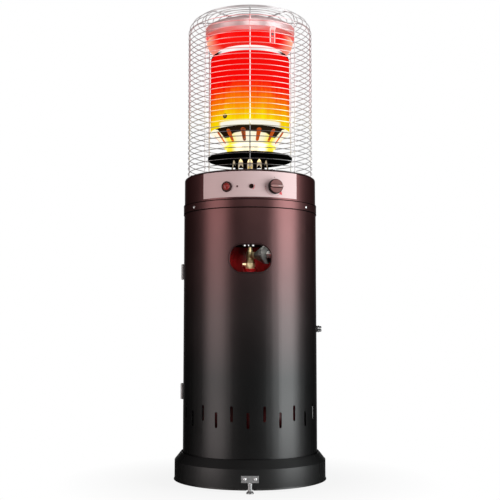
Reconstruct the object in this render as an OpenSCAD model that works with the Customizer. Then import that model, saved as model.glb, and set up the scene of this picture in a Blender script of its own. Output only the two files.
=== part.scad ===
// Gas patio heater: a round cabinet that holds a gas cylinder, a control head on top of it,
// and above that a burner with a glowing emitter drum and two reflectors inside a wire guard.
// Millimetres, +Z up, origin on the floor under the cabinet's axis, front towards -Y.
// Angles are measured round +Z from the front, positive towards +X.

/* [Base] */
// How far the base skirt stands out from the cabinet's wall
base_step = 23.6; // [18:0.2:30]
// How far the lip at the foot of the skirt flares out
lip_flare = 2.2; // [1:0.1:3]
// Height of the lip above the floor
lip_z = 7.3; // [7:0.1:12]
// Height of the flared part of the lip
lip_h = 4; // [2:0.5:8]
// Height at which the skirt turns in towards the cabinet
skirt_z = 62; // [61:0.5:70]
// Height of the upper rim of the base
base_top_z = 84.5; // [80:0.5:95]
// Width of the flat upper rim
rim_w = 3.4; // [2:0.1:6]
// Gap between the upper rim and the cabinet
rim_gap = 2.2; // [1.5:0.1:4]
// Thickness of the base sheet
base_t = 1.5; // [1:0.1:2.5]
// Height of the top of the plate that carries the cabinet and the cylinder
plate_z = 60; // [52:1:61]
// Thickness of that plate
plate_t = 3; // [2:0.5:5]

/* [Feet] */
// Width of the bar of a foot bracket
bracket_w = 47; // [40:1:60]
// Height of the bar
bracket_h = 18.4; // [14:0.2:22]
// Height of the bar's lower edge above the floor
bracket_z = 27.3; // [22:0.1:32]
// Thickness of a foot bracket
bracket_t = 2; // [1.5:0.1:3]
// Distance between the two screws of a bracket
bracket_screw_w = 28; // [24:0.5:34]
// Outer diameter of the sleeve that guides a foot
sleeve_d = 12.2; // [11:0.1:13]
// Height of the sleeve's lower end above the floor
sleeve_z = 8.6; // [8:0.1:12]
// Diameter of a foot's screw
foot_screw_d = 8; // [6:0.1:9]
// Diameter of a foot's pad
pad_d = 20.4; // [18:0.2:24]
// Height of the straight edge of a pad
pad_edge_h = 2.2; // [1:0.1:3]
// How far a foot screws out
foot_travel = 10; // [5:0.5:12]

/* [Cabinet] */
// Outer radius of the cabinet
body_r = 196; // [190:0.5:200]
// Thickness of the cabinet sheet
sheet_t = 1.2; // [0.8:0.1:2]
// Height of the lower edge of the collar band
band_z = 776.8; // [760:0.2:800]
// Height of the collar band
band_h = 25; // [20:0.5:32]
// Thickness of the collar band
band_t = 1.3; // [0.8:0.1:2]
// Angle from the front, or from the back, to a screw of the collar band
band_screw_a = 54.4; // [45:0.1:60]
// Height of those screws above the band's lower edge
band_screw_up = 8.8; // [7:0.1:12]
// Width of the hand window
window_w = 118; // [100:1:130]
// Height of the hand window
window_h = 79.6; // [74:0.2:90]
// Corner radius of the hand window
window_corner = 35; // [25:0.5:36]
// Height of the middle of the hand window
window_z = 632.8; // [620:0.2:650]
// Depth of the lip folded in round the hand window
window_lip = 8; // [4:0.5:12]
// Width of a vent slot
slot_w = 8; // [6:0.2:10]
// Length of a vent slot
slot_h = 43; // [36:0.5:48]
// Height of the middle of the lower row of vent slots
slot_z = 188.6; // [170:0.2:195]
// How much higher the upper row is
slot_step = 17.3; // [12:0.1:20]
// Angle between one vent slot and the next
slot_pitch_a = 13.4; // [12:0.1:15]

/* [Door] */
// Angle of the hinge line
hinge_a = -93; // [-97:0.5:-90]
// Angle of the cabinet's edge on the latch side
latch_edge_a = 84; // [80:0.5:86]
// Clear gap round the door
door_gap = 2; // [1.5:0.1:3]
// Depth of the flanges folded in at the door's top and bottom
door_flange = 12; // [8:0.5:18]
// Diameter of the vent holes high in the door
vent_d = 6; // [4:0.5:8]
// Height of those holes
vent_z = 705.5; // [690:0.5:730]
// Height of the middle of the upper hinge
hinge_upper_z = 607.5; // [560:0.5:680]
// Height of the middle of the lower hinge
hinge_lower_z = 255.5; // [245:0.5:320]
// Height of a hinge
hinge_h = 44; // [36:1:50]
// Width of a hinge leaf
leaf_w = 22; // [18:0.5:26]
// Thickness of a hinge leaf
leaf_t = 1.5; // [1.2:0.1:2]
// Outer diameter of a hinge knuckle
knuckle_d = 8.4; // [7.6:0.1:9]
// Diameter of a hinge pin
hinge_pin_d = 4; // [3:0.1:4.6]
// Distance of the hinge pin's axis from the cabinet's surface
hinge_off = 5; // [4.8:0.1:6]
// Angle of the latch
latch_a = 92; // [90:0.5:96]
// Height of the latch
latch_z = 438.6; // [400:0.2:480]
// Diameter of the latch bush's flange
latch_bush_d = 20; // [17:0.5:24]
// Diameter of the latch knob
latch_knob_d = 20; // [16:0.5:24]
// Reach of the latch knob from the cabinet's surface
latch_reach = 15.5; // [12:0.1:20]
// Diameter of the latch shaft
latch_shaft_d = 8; // [6:0.1:9]
// Length of the latch cam from the shaft's axis
cam_l = 30; // [24:0.5:36]
// Width of the latch cam
cam_w = 12; // [11.5:0.5:16]

/* [Control head] */
// Height of the deck on top of the control head
deck_z = 882; // [860:0.5:900]
// Radius of the rounded edge of the deck
deck_edge = 7; // [5:0.5:9]
// Radius of the round opening in the deck
deck_hole_r = 40; // [30:1:44]
// Angle from the front to either end of the control panel
panel_a = 42.4; // [36:0.2:48]
// Height of the control panel's lower edge
panel_z = 804.5; // [803:0.5:810]
// Height of the control panel
panel_h = 72.5; // [64:0.5:74]
// Thickness of the control panel
panel_t = 1; // [0.6:0.1:1.5]
// Height of the controls' axes
control_z = 834; // [828:0.5:844]
// Angle of the control knob
knob_a = 20.5; // [16:0.5:26]
// Diameter of the control knob
knob_d = 42; // [36:0.5:46]
// Height of the knob's skirt
knob_skirt_h = 7; // [5:0.5:9]
// Height of the knob's grip bar above the skirt
knob_grip_h = 10; // [7:0.5:14]
// Width of the knob's grip bar
knob_grip_w = 10; // [8:0.5:12]
// How far the knob can be pushed in
knob_travel = 3.5; // [2:0.1:4]
// Diameter of the valve's spindle
spindle_d = 8; // [6:0.1:9]
// Angle of the igniter
igniter_a = -19.3; // [-26:0.1:-16]
// Diameter of the igniter's bezel
igniter_d = 30; // [26:0.5:32]
// How far the bezel stands out of the panel
igniter_reach = 5; // [4:0.5:7]
// Diameter of the igniter's button
button_d = 20; // [16:0.1:20.4]
// How far the button stands out of the bezel
button_up = 5.6; // [5.2:0.1:8]
// How far the button can be pushed in
button_travel = 5; // [3:0.1:5]
// Length of the igniter's body behind the panel
igniter_l = 48; // [40:1:60]
// Angle of the sight port
sight_a = 1.2; // [-2:0.1:5]
// Outer diameter of the sight port's bezel
sight_d = 13; // [11:0.5:16]
// Diameter of the sight port's hole
sight_hole_d = 8.6; // [6:0.2:9]
// Angle of the small stud beside the igniter
stud_a = -10.5; // [-12:0.1:-8]
// Diameter of that stud
stud_d = 5.5; // [4:0.5:7]

/* [Burner] */
// Radius of the pedestal
pedestal_r = 56; // [50:0.5:60]
// Height of the pedestal above the deck
pedestal_h = 65; // [58:0.5:72]
// Number of windows round the pedestal
lancets = 12; // [8:1:14]
// Width of a pedestal window
lancet_w = 16.5; // [12:0.5:18]
// Height of a pedestal window
lancet_h = 33; // [26:0.5:36]
// Height of a window's sill above the deck
lancet_up = 25; // [20:0.5:26]
// Radius of the burner dish
dish_r = 126.5; // [115:0.5:135]
// Depth of the dish's turned-down edge
dish_edge = 5; // [3:0.5:8]
// Radius of the burner's neck
neck_r = 70; // [62:0.5:74]
// Height of the neck
neck_h = 33; // [28:0.5:38]
// Radius of the emitter cone at its foot
cone_r1 = 78; // [74:0.5:84]
// Radius of the emitter cone at its top
cone_r2 = 111.5; // [104:0.5:114]
// Height of the emitter cone
cone_h = 43; // [36:0.5:50]
// Number of slots in the cone
cone_slots = 14; // [10:1:16]
// Width of a cone slot at its upper end
cone_slot_w2 = 14.5; // [10:0.5:16]
// Width of a cone slot at its lower end
cone_slot_w1 = 9.4; // [7:0.2:10]
// Radius of the emitter drum
drum_r = 118; // [112:0.5:124]
// Height of the emitter drum without its cover
drum_h = 222; // [200:1:240]
// Height of the drum's cover
cover_h = 11; // [10:0.5:16]
// Radius of the cover's rounded edge
cover_edge = 9; // [6:0.5:9]
// Thickness of the burner's and the reflectors' sheet
burner_t = 1; // [0.6:0.1:1.4]
// Angle of the ignition port in the drum
port_a = -37.8; // [-45:0.2:-30]
// Height of the ignition port above the drum's foot
port_up = 32; // [24:0.5:50]
// Outer diameter of the ignition port
port_d = 14.5; // [12:0.5:18]

/* [Reflectors] */
// Gap between the drum's cover and the bowl
bowl_gap = 8; // [6:0.5:14]
// Radius of the bowl's rim
bowl_r = 130; // [122:0.5:134]
// Depth of the bowl, which is also the radius of its wall
bowl_h = 38; // [30:0.5:44]
// Gap between the bowl's rim and the cap
cap_gap = 11; // [8:0.5:16]
// Radius of the cap
cap_r = 137; // [135:0.5:144]
// Height of the cap
cap_h = 31; // [28:0.5:37]
// Radius of the cap's rounded edge
cap_edge = 12; // [8:0.5:16]
// Angle of the first strap between bowl and cap
strap_a = 30; // [20:1:40]
// Width of a strap
strap_w = 17; // [13:0.5:20]

/* [Guard] */
// How far the wire guard stands in from the cabinet's wall
guard_inset = 9.5; // [9:0.5:11.5]
// Height of the top of the wire guard
guard_top_z = 1371; // [1362:0.5:1390]
// Radius of the guard's shoulder, at the middle of the ring wire
guard_bend = 44; // [34:0.5:50]
// Diameter of the ring wire
ring_d = 2.2; // [2:0.1:3]
// Diameter of the upright wire
upright_d = 3.4; // [3:0.1:5]
// Distance from one ring to the next along the guard
ring_pitch = 15.9; // [14:0.1:20]
// Number of upright wires
uprights = 8; // [6:1:12]
// Radius of the round opening in the middle of the guard's top
guard_eye_r = 60; // [40:1:80]

/* [Gas cylinder] */
// Radius of the gas cylinder
cyl_r = 154; // [148:0.5:156]
// Height of the cylinder's bottom above the plate
cyl_up = 10; // [6:0.5:14]
// Height of the cylinder's crown above the floor
cyl_top_z = 603; // [590:0.5:606]
// Radius of the cylinder's crown
crown_r = 300; // [260:1:320]
// Radius of the knuckle between crown and side
knuckle_r = 50; // [40:0.5:56]
// Thickness of the cylinder's wall
cyl_t = 3; // [2:0.1:4]
// Radius of the cylinder's foot ring
cyl_foot_r = 118; // [108:0.5:120]
// Radius of the collar round the cylinder's valve
collar_r = 78; // [70:0.5:82]
// Height of the collar's top above the crown
collar_up = 84; // [80:0.5:110]
// Angle from the front to which the collar is open, on the left
collar_open_left = -62; // [-70:1:-50]
// Angle from the front to which the collar is open, on the right
collar_open_right = 86; // [80:1:96]
// Height of the valve outlet's axis
outlet_z = 655.5; // [652:0.5:660]
// Angle of the valve's outlet
outlet_a = 50; // [44:1:56]
// Diameter of the coupling nut
nut_d = 56; // [48:0.5:60]
// Radius of the regulator's body
reg_r = 33; // [28:0.5:34]
// Diameter of the hand wheel
wheel_d = 54; // [44:0.5:60]

/* [Fits] */
// Radial clearance of a pin or shaft that turns or slides
run_fit = 0.05; // [0.02:0.01:0.09]
// Clearance between sheets and wires that are fixed to each other
seat_gap = 0.1; // [0.05:0.01:0.2]
// Clearance beside pieces that move
move_gap = 0.5; // [0.3:0.05:0.8]

/* [Hidden] */
$fn = 64;
eps = 0.02;
feet_a = [0, 120, 240];

// Base
base_r = body_r + base_step;
rim_in_r = body_r + rim_gap;
rim_out_r = rim_in_r + rim_w;
bracket_r = base_r + seat_gap;
foot_r = bracket_r + seat_gap + sleeve_d / 2;
sleeve_top_z = bracket_z - 1;
foot_screw_r = foot_screw_d / 2;

// Cabinet
body_in_r = body_r - sheet_t;
body_top_z = band_z + band_h - sheet_t;
slot_first_a = -1.6;
window_x = 1;
gap_a = door_gap / body_r * 180 / PI;
shell_edge_a = hinge_a - 1;
door_a0 = latch_edge_a + gap_a;
door_a1 = 360 + shell_edge_a - gap_a;
door_z0 = base_top_z + door_gap + seat_gap;
door_z1 = band_z - door_gap;
opening_z0 = door_z0 - door_gap;
opening_z1 = door_z1 + door_gap / 2;
front_slots = [for (k = [-6:6]) k];
door_slots = [for (k = [7:19]) k];
vent_first_a = 181;
vent_pitch_a = 3.94;

// Hinges and latch
hinge_r = body_r + hinge_off;
hinge_x = hinge_r * sin(hinge_a);
hinge_y = -hinge_r * cos(hinge_a);
hinges_z = [hinge_lower_z, hinge_upper_z];
knuckle_h = hinge_h / 3;
leaf_r = body_r + seat_gap;
leaf_a = leaf_w / body_r * 180 / PI;
leaf_start_a = move_gap / body_r * 180 / PI;
leaf_screw_a = 0.62 * leaf_a;
leaf_screw_up = 0.3 * hinge_h;
latch_bush_h = 3;
latch_barrel_d = latch_shaft_d + 4;
latch_barrel_l = 10;
latch_slot_w = 2.6;
latch_slot_h = 2.2;
cam_t = 2.2;
cam_r1 = body_r - latch_barrel_l - move_gap;
cam_r0 = cam_r1 - cam_t;

// Control head
head_r = body_in_r - seat_gap;
head_in_r = head_r - sheet_t;
head_z = band_z + 2;
panel_r = head_r + seat_gap;
panel_out_r = panel_r + panel_t;
spindle_r = spindle_d / 2;
knob_r0 = panel_out_r + knob_travel + 2 * move_gap;
knob_r1 = knob_r0 + knob_skirt_h;
knob_r2 = knob_r1 + knob_grip_h;
spindle_hole_r = spindle_r + 3;
valve_back = 22.7;
valve_nose_r1 = head_r - valve_back;
valve_nose_r = 11;
valve_nose_l = 6;
valve_r1 = valve_nose_r1 - valve_nose_l;
valve_depth = 40;
valve_r0 = valve_r1 - valve_depth;
valve_w = 36;
valve_h = 40;
spindle_r0 = valve_nose_r1 - 22;
washer_r0 = valve_nose_r1 + knob_travel + 2 * move_gap;
washer_t = 2;
clip_t = 1.2;
button_r = button_d / 2;
igniter_tube_r = button_r + 2;
igniter_front = panel_out_r + igniter_reach - 1.5;
igniter_r0 = head_r - igniter_l;
button_r0 = igniter_front - 22;
button_r1 = panel_out_r + igniter_reach + button_up;

// Burner, from the deck up
dish_z = deck_z + pedestal_h;
neck_z = dish_z + burner_t;
cone_z = neck_z + neck_h;
drum_z = cone_z + cone_h + burner_t;
cover_z = drum_z + drum_h;
cover_top_z = cover_z + cover_h;
flange_w = 9;
cone_slope_a = atan2(cone_r2 - cone_r1, cone_h);
cone_slant = norm([cone_r2 - cone_r1, cone_h]);
cone_first_a = 14.6;
pipe_r = 5;
pipe_bend = 24;
injector_z = deck_z + 22;

// Reflectors
bowl_z = cover_top_z + bowl_gap;
bowl_rim_z = bowl_z + bowl_h;
cap_z = bowl_rim_z + cap_gap;
cap_top_z = cap_z + cap_h;
straps_a = [for (k = [0:2]) strap_a + 120 * k];
strap_t = 1.5;
strap_r0 = bowl_r + seat_gap;
strap_r1 = sqrt(pow(cap_r - burner_t - move_gap, 2) - pow(strap_w / 2, 2)) - strap_t;
strap_screw_z = bowl_rim_z - 9;

// Guard: a ring sits every pitch along the line up the side, round the shoulder and in over the top
guard_r = body_r - guard_inset;
ring_r = ring_d / 2;
ring_sides = 12;
upright_r = upright_d / 2;
ring_c = guard_r - ring_r;
ring_top_z = guard_top_z - ring_r;
bend_c = ring_c - guard_bend;
bend_z = ring_top_z - guard_bend;
wire_step = ring_r + seat_gap / 2 + upright_r;
upright_bend = guard_bend - wire_step;
upright_c = ring_c - wire_step;
upright_top_z = ring_top_z - wire_step;
ring_z0 = deck_z + ring_r + seat_gap / 2;
side_run = bend_z - ring_z0;
bend_run = guard_bend * PI / 2;
top_run = bend_c - guard_eye_r;
rings = floor((side_run + bend_run + top_run) / ring_pitch);
function bend_a(s) = (s - side_run) / guard_bend * 180 / PI;
function ring_at(s) =
    s < side_run ? [ring_c, ring_z0 + s] :
    s < side_run + bend_run ? [bend_c + guard_bend * cos(bend_a(s)), bend_z + guard_bend * sin(bend_a(s))] :
    [bend_c - (s - side_run - bend_run), ring_top_z];
clips_a = [for (k = [0:3]) 22.5 + 90 * k];
clip_w = 14;
clip_r0 = ring_c - 22;
clip_r1 = guard_r;
clip_z = deck_z + ring_d + seat_gap;
clip_screw_r = ring_c - 13;

// Gas cylinder
cyl_z = plate_z + cyl_up;
collar_t = 3;
function crown_z(r) = cyl_top_z - crown_r + sqrt(pow(crown_r, 2) - pow(r, 2));
function bottom_z(r) = cyl_z + crown_r - sqrt(pow(crown_r, 2) - pow(r, 2));
neck_d = 40;
valve_thread_d = 26;
cyl_neck_z = cyl_top_z + 13;
valve_base_z = cyl_neck_z + 6;
valve_base_h = 15;
valve_base_w = 27;
valve_body_d = 22;
valve_body_z1 = outlet_z + 11;
bonnet_z1 = valve_body_z1 + 14;
nose_d = 14;
nut_r0 = 22;
nut_r1 = nut_r0 + 36;
nut_r2 = nut_r1 + 8;
stub_d = 12;
stub_r0 = nut_r2 - 26;
reg_c = nut_r2 + 22 + reg_r;
reg_h = 26;
wheel_z = bonnet_z1 + 12;
wheel_h = 15;
wheel_stem_d = 6;

// Round wall between two radii
module ring(r0, r1, z0, z1) {
    translate([0, 0, z0])
        difference() {
            cylinder(r = r1, h = z1 - z0);
            translate([0, 0, -1]) cylinder(r = r0, h = z1 - z0 + 2);
        }
}

// Part of a round wall between two angles from the front
module sector(r0, r1, z0, z1, a0, a1) {
    rotate([0, 0, a0 - 90])
        rotate_extrude(angle = a1 - a0)
            translate([r0, z0]) square([r1 - r0, z1 - z0]);
}

// Places a child whose +Z points outwards, at an angle, a height and a distance from the axis
module outward(a, z, r) {
    rotate([0, 0, a])
        translate([0, -r, z])
            rotate([90, 0, 0])
                children();
}

// Half profile of a can with a rounded upper edge
module can_profile(r, z0, z1, edge) {
    translate([0, z0]) square([r, z1 - z0 - edge]);
    translate([0, z0]) square([r - edge, z1 - z0]);
    intersection() {
        translate([r - edge, z1 - edge]) circle(edge);
        translate([r - edge, z1 - edge]) square(edge);
    }
}

// Spun pan, open below, with a rounded upper edge
module pan(r, z0, z1, edge, t) {
    rotate_extrude()
        difference() {
            can_profile(r, z0, z1, edge);
            can_profile(r - t, z0 - 1, z1 - t, max(edge - t, 0.5));
        }
}

// Slot outline with round ends
module slot_outline(w, h) {
    square([w, h - w], center = true);
    translate([0, (h - w) / 2]) circle(d = w);
    translate([0, -(h - w) / 2]) circle(d = w);
}

// Rectangle with round corners
module round_rect(w, h, r) {
    square([w - 2 * r, h], center = true);
    square([w, h - 2 * r], center = true);
    for (sx = [-1, 1])
        for (sy = [-1, 1])
            translate([sx * (w / 2 - r), sy * (h / 2 - r)]) circle(r);
}

// Domed screw on its seat at z = 0, with its shank below
module pan_screw(head_d, head_h, shank_d, shank_l) {
    ball_r = (pow(head_d / 2, 2) + pow(head_h, 2)) / (2 * head_h);
    intersection() {
        cylinder(d = head_d, h = head_h);
        translate([0, 0, head_h - ball_r]) sphere(ball_r);
    }
    translate([0, 0, -shank_l]) cylinder(d = shank_d, h = shank_l + eps);
}

// Angle and row of vent slot number k
function slot_a(k) = slot_first_a + slot_pitch_a * k;
function slot_row_z(k) = slot_z + (k % 2 == 0 ? 0 : slot_step);

// Cutters for the vent slots of one sheet
module vent_slots(numbers) {
    for (k = numbers)
        outward(slot_a(k), slot_row_z(k), body_r - 3 * sheet_t)
            linear_extrude(6 * sheet_t) slot_outline(slot_w, slot_h);
}

// Radial holes at a list of [angle, height]
module radial_holes(places, d, r0, r1) {
    for (p = places)
        outward(p[0], p[1], r0) cylinder(d = d, h = r1 - r0);
}

// Screw places, each an angle and a height
bracket_screw_da = bracket_screw_w / 2 / base_r * 180 / PI;
bracket_screw_places = [
    for (a = feet_a) for (s = [-1, 1]) [a + s * bracket_screw_da, bracket_z + bracket_h / 2]
];
band_screw_places = [
    for (a = [0, 180]) for (s = [-1, 1]) [a + s * band_screw_a, band_z + band_screw_up]
];
function leaf_screws(side) = [
    for (z = hinges_z) for (s = [-1, 1]) [hinge_a + side * leaf_screw_a, z + s * leaf_screw_up]
];
bracket_shank_d = 4;
band_shank_d = 4;
leaf_shank_d = 3.2;
shank_play = 0.3;

// Base skirt with a flared lip, a sloping shoulder and a flat rim round the cabinet
module base_ring() {
    color("#1c1b1c")
        difference() {
            rotate_extrude()
                polygon([
                    [base_r + lip_flare, lip_z],
                    [base_r, lip_z + lip_h],
                    [base_r, skirt_z],
                    [rim_out_r, base_top_z],
                    [rim_in_r, base_top_z],
                    [rim_in_r, base_top_z - base_t],
                    [rim_out_r - base_t / 2, base_top_z - base_t],
                    [base_r - base_t, skirt_z - base_t / 2],
                    [base_r - base_t, lip_z + lip_h],
                    [base_r + lip_flare - base_t, lip_z]
                ]);
            for (a = feet_a)
                sector(base_r, base_r + 2 * lip_flare, lip_z - 1, lip_z + lip_h + 1,
                       a - 2.4, a + 2.4);
            radial_holes(bracket_screw_places, bracket_shank_d + shank_play,
                         base_r - 3 * base_t, base_r + 1);
        }
}

// Round plate inside the base with a turned-down edge
module base_plate() {
    plate_r = base_r - base_t - seat_gap;
    color("#2a2a2b")
        rotate_extrude()
            polygon([
                [0, plate_z - plate_t], [plate_r - plate_t, plate_z - plate_t],
                [plate_r - plate_t, plate_z - 4 * plate_t], [plate_r, plate_z - 4 * plate_t],
                [plate_r, plate_z], [0, plate_z]
            ]);
}

// Bracket of one foot: a bar on the skirt with a sleeve hanging from it
module foot_bracket() {
    bar_a = bracket_w / 2 / base_r * 180 / PI;
    stem_a = sleeve_d / 2 / base_r * 180 / PI;
    difference() {
        union() {
            sector(bracket_r, bracket_r + bracket_t, bracket_z, bracket_z + bracket_h, -bar_a, bar_a);
            sector(bracket_r + seat_gap / 2, bracket_r + bracket_t - seat_gap / 2,
                   lip_z + lip_h + 1, bracket_z + bracket_h / 3, -stem_a, stem_a);
            translate([0, -foot_r, sleeve_z]) cylinder(d = sleeve_d, h = sleeve_top_z - sleeve_z);
        }
        translate([0, -foot_r, 0]) cylinder(r = foot_screw_r + run_fit, h = bracket_z + 1);
    }
}

// The foot brackets with their screw holes
module foot_brackets() {
    color("#8b8c8e")
        difference() {
            for (a = feet_a)
                rotate([0, 0, a]) foot_bracket();
            radial_holes(bracket_screw_places, bracket_shank_d + shank_play,
                         base_r - 1, bracket_r + 2 * bracket_t);
        }
}

// Domed screws of the foot brackets
module bracket_screws() {
    color("#b9babd")
        for (p = bracket_screw_places)
            outward(p[0], p[1], bracket_r + bracket_t + seat_gap / 2)
                pan_screw(9, 3, bracket_shank_d, bracket_t + base_t + 5);
}

// One levelling foot: a flared pad on a screw that runs in the sleeve
module levelling_foot(a) {
    neck_pad_r = sleeve_d / 2 - 0.3;
    color("#d3d4d5")
        rotate([0, 0, a])
            translate([0, -foot_r, 0])
                rotate_extrude()
                    polygon([
                        [0, 0], [pad_d / 2, 0], [pad_d / 2, pad_edge_h],
                        [neck_pad_r, lip_z - 0.3], [neck_pad_r, sleeve_z - seat_gap],
                        [foot_screw_r, sleeve_z - seat_gap],
                        [foot_screw_r, sleeve_top_z - 1],
                        [0, sleeve_top_z - 1]
                    ]);
}
module foot_front() { levelling_foot(feet_a[0]); }
module foot_right() { levelling_foot(feet_a[1]); }
module foot_left() { levelling_foot(feet_a[2]); }

// Outline of the hand window
module window_cut(grow) {
    translate([window_x, 0, window_z])
        rotate([90, 0, 0])
            linear_extrude(body_r + 20)
                round_rect(window_w + 2 * grow, window_h + 2 * grow, window_corner + grow);
}

// Wrapped cabinet sheet with the hand window, the vent slots and the door opening at the back
module body_shell() {
    color("#2b2021")
        difference() {
            union() {
                ring(body_in_r, body_r, plate_z, body_top_z);
                intersection() {
                    window_cut(sheet_t);
                    ring(body_r - window_lip, body_r - sheet_t / 2,
                         window_z - window_h, window_z + window_h);
                }
            }
            window_cut(0);
            vent_slots(front_slots);
            sector(body_r - 10, body_r + 10, opening_z0, opening_z1, latch_edge_a, 360 + shell_edge_a);
            radial_holes(band_screw_places, band_shank_d + shank_play, body_r - 10, body_r + 5);
            radial_holes(leaf_screws(1), leaf_shank_d + shank_play, body_r - 10, body_r + 5);
        }
}

// Band round the joint between cabinet and control head
module collar_band() {
    band_r = body_r + seat_gap;
    color("#2f2324")
        difference() {
            ring(band_r, band_r + band_t, band_z, band_z + band_h);
            radial_holes(band_screw_places, band_shank_d + shank_play, body_r - 5, body_r + 10);
        }
}

// Domed screws through the band, the cabinet and the head
module band_screws() {
    color("#5a4f50")
        for (p = band_screw_places)
            outward(p[0], p[1], body_r + band_t + 1.5 * seat_gap)
                pan_screw(8, 2.4, band_shank_d, band_t + 2 * sheet_t + 4);
}

// Curved door over the back half of the cabinet, with flanges at top and bottom
module rear_door() {
    color("#2b2021")
        difference() {
            union() {
                sector(body_in_r, body_r, door_z0, door_z1, door_a0, door_a1);
                for (z = [door_z0, door_z1 - sheet_t])
                    sector(body_r - door_flange, body_r - sheet_t / 2, z, z + sheet_t, door_a0, door_a1);
            }
            vent_slots(door_slots);
            for (k = [-1:1])
                outward(vent_first_a + k * vent_pitch_a, vent_z, body_r - 5) cylinder(d = vent_d, h = 10);
            outward(latch_a, latch_z, body_r - 10)
                cylinder(d = latch_barrel_d + shank_play, h = 20);
            radial_holes(leaf_screws(-1), leaf_shank_d + shank_play, body_r - 10, body_r + 5);
        }
}

// Upright cylinder on a hinge's axis
module on_hinge(d, z0, z1) {
    translate([hinge_x, hinge_y, z0]) cylinder(d = d, h = z1 - z0);
}

// Leaf on the cabinet: two outer knuckles, open between them
module frame_leaf(z) {
    z0 = z - hinge_h / 2;
    z1 = z + hinge_h / 2;
    difference() {
        union() {
            sector(leaf_r, leaf_r + leaf_t, z0, z1, hinge_a + leaf_start_a, hinge_a + leaf_a);
            on_hinge(knuckle_d, z0, z1);
        }
        on_hinge(knuckle_d + 2 * move_gap, z - knuckle_h / 2 - move_gap, z + knuckle_h / 2 + move_gap);
        on_hinge(hinge_pin_d + 2 * run_fit, z0 - 1, z1 + 1);
    }
}

// Leaf on the door: the middle knuckle, open above and below it
module door_leaf(z) {
    z0 = z - hinge_h / 2;
    z1 = z + hinge_h / 2;
    difference() {
        union() {
            difference() {
                sector(leaf_r, leaf_r + leaf_t, z0, z1, hinge_a - leaf_a, hinge_a - leaf_start_a);
                on_hinge(knuckle_d + 2 * move_gap, z0 - 1, z - knuckle_h / 2);
                on_hinge(knuckle_d + 2 * move_gap, z + knuckle_h / 2, z1 + 1);
            }
            on_hinge(knuckle_d, z - knuckle_h / 2, z + knuckle_h / 2);
        }
        on_hinge(hinge_pin_d + 2 * run_fit, z0 - 1, z1 + 1);
    }
}

// Hinge leaves on the cabinet
module hinge_frame_leaves() {
    color("#3a3335")
        difference() {
            for (z = hinges_z)
                frame_leaf(z);
            radial_holes(leaf_screws(1), leaf_shank_d + shank_play, body_r - 5, body_r + 5);
        }
}

// Hinge leaves on the door
module hinge_door_leaves() {
    color("#3a3335")
        difference() {
            for (z = hinges_z)
                door_leaf(z);
            radial_holes(leaf_screws(-1), leaf_shank_d + shank_play, body_r - 5, body_r + 5);
        }
}

// Headed pins that the door turns on
module hinge_pins() {
    color("#a9a9ab")
        for (z = hinges_z) {
            on_hinge(hinge_pin_d, z - hinge_h / 2 - 1, z + hinge_h / 2 + 1);
            on_hinge(hinge_pin_d + 2.4, z + hinge_h / 2 + seat_gap, z + hinge_h / 2 + 1.8);
        }
}

// Screws of one side of the hinges
module leaf_screw_row(side) {
    color("#8d8a8c")
        for (p = leaf_screws(side))
            outward(p[0], p[1], leaf_r + leaf_t + seat_gap / 2)
                pan_screw(7, 2.4, leaf_shank_d, leaf_t + sheet_t + 3);
}
module hinge_frame_screws() { leaf_screw_row(1); }
module hinge_door_screws() { leaf_screw_row(-1); }

// Flanged bush in the door that the latch turns in
module latch_bush() {
    color("#161616")
        outward(latch_a, latch_z, 0)
            rotate_extrude()
                polygon([
                    [latch_shaft_d / 2 + run_fit, body_r - latch_barrel_l],
                    [latch_barrel_d / 2, body_r - latch_barrel_l],
                    [latch_barrel_d / 2, body_r + seat_gap],
                    [latch_bush_d / 2, body_r + seat_gap],
                    [latch_bush_d / 2, body_r + latch_bush_h - 1],
                    [latch_bush_d / 2 - 1, body_r + latch_bush_h],
                    [latch_shaft_d / 2 + run_fit, body_r + latch_bush_h]
                ]);
}

// Latch knob on its shaft, with a slot for a coin across its face
module latch_knob() {
    r0 = body_r + latch_bush_h + move_gap;
    r1 = body_r + latch_reach;
    kr = latch_knob_d / 2;
    tip_r = kr - 1.5;
    color("#c9cacc")
        outward(latch_a, latch_z, 0)
            difference() {
                rotate_extrude()
                    polygon([
                        [0, cam_r0 - 1.6], [latch_shaft_d / 2 + 1.5, cam_r0 - 1.6],
                        [latch_shaft_d / 2 + 1.5, cam_r0 - seat_gap], [latch_shaft_d / 2, cam_r0 - seat_gap],
                        [latch_shaft_d / 2, r0], [kr - 1, r0], [kr, r0 + 1], [kr, r0 + 5], [tip_r, r0 + 6.5],
                        [tip_r, r1 - 1], [tip_r - 1, r1], [0, r1]
                    ]);
                translate([-kr, -latch_slot_w / 2, r1 - latch_slot_h])
                    cube([2 * kr, latch_slot_w, latch_slot_h + 1]);
            }
}

// Cam on the inner end of the latch shaft, upright when the door is free
module latch_cam() {
    color("#9c9da0")
        outward(latch_a, latch_z, cam_r0)
            difference() {
                linear_extrude(cam_t) {
                    circle(d = cam_w);
                    translate([-cam_w / 2, 0]) square([cam_w, cam_l - cam_w / 2]);
                    translate([0, cam_l - cam_w / 2]) circle(d = cam_w);
                }
                translate([0, 0, -1]) cylinder(d = latch_shaft_d + 2 * run_fit, h = cam_t + 2);
            }
}

// Head shell: a deep pan with a deck, holes for the controls and a round opening to the burner
module control_housing() {
    color("#2b2021")
        difference() {
            pan(head_r, head_z, deck_z, deck_edge, sheet_t);
            translate([0, 0, deck_z - 3 * sheet_t]) cylinder(r = deck_hole_r, h = 6 * sheet_t);
            control_holes();
            radial_holes(band_screw_places, band_shank_d + shank_play, head_in_r - 5, head_r + 5);
            for (a = clips_a)
                rotate([0, 0, a])
                    translate([0, -clip_screw_r, deck_z - 5]) cylinder(d = 4 + shank_play, h = 10);
            pedestal_screw_places()
                translate([0, 0, deck_z - 5]) cylinder(d = 4 + shank_play, h = 10);
        }
}

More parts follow.
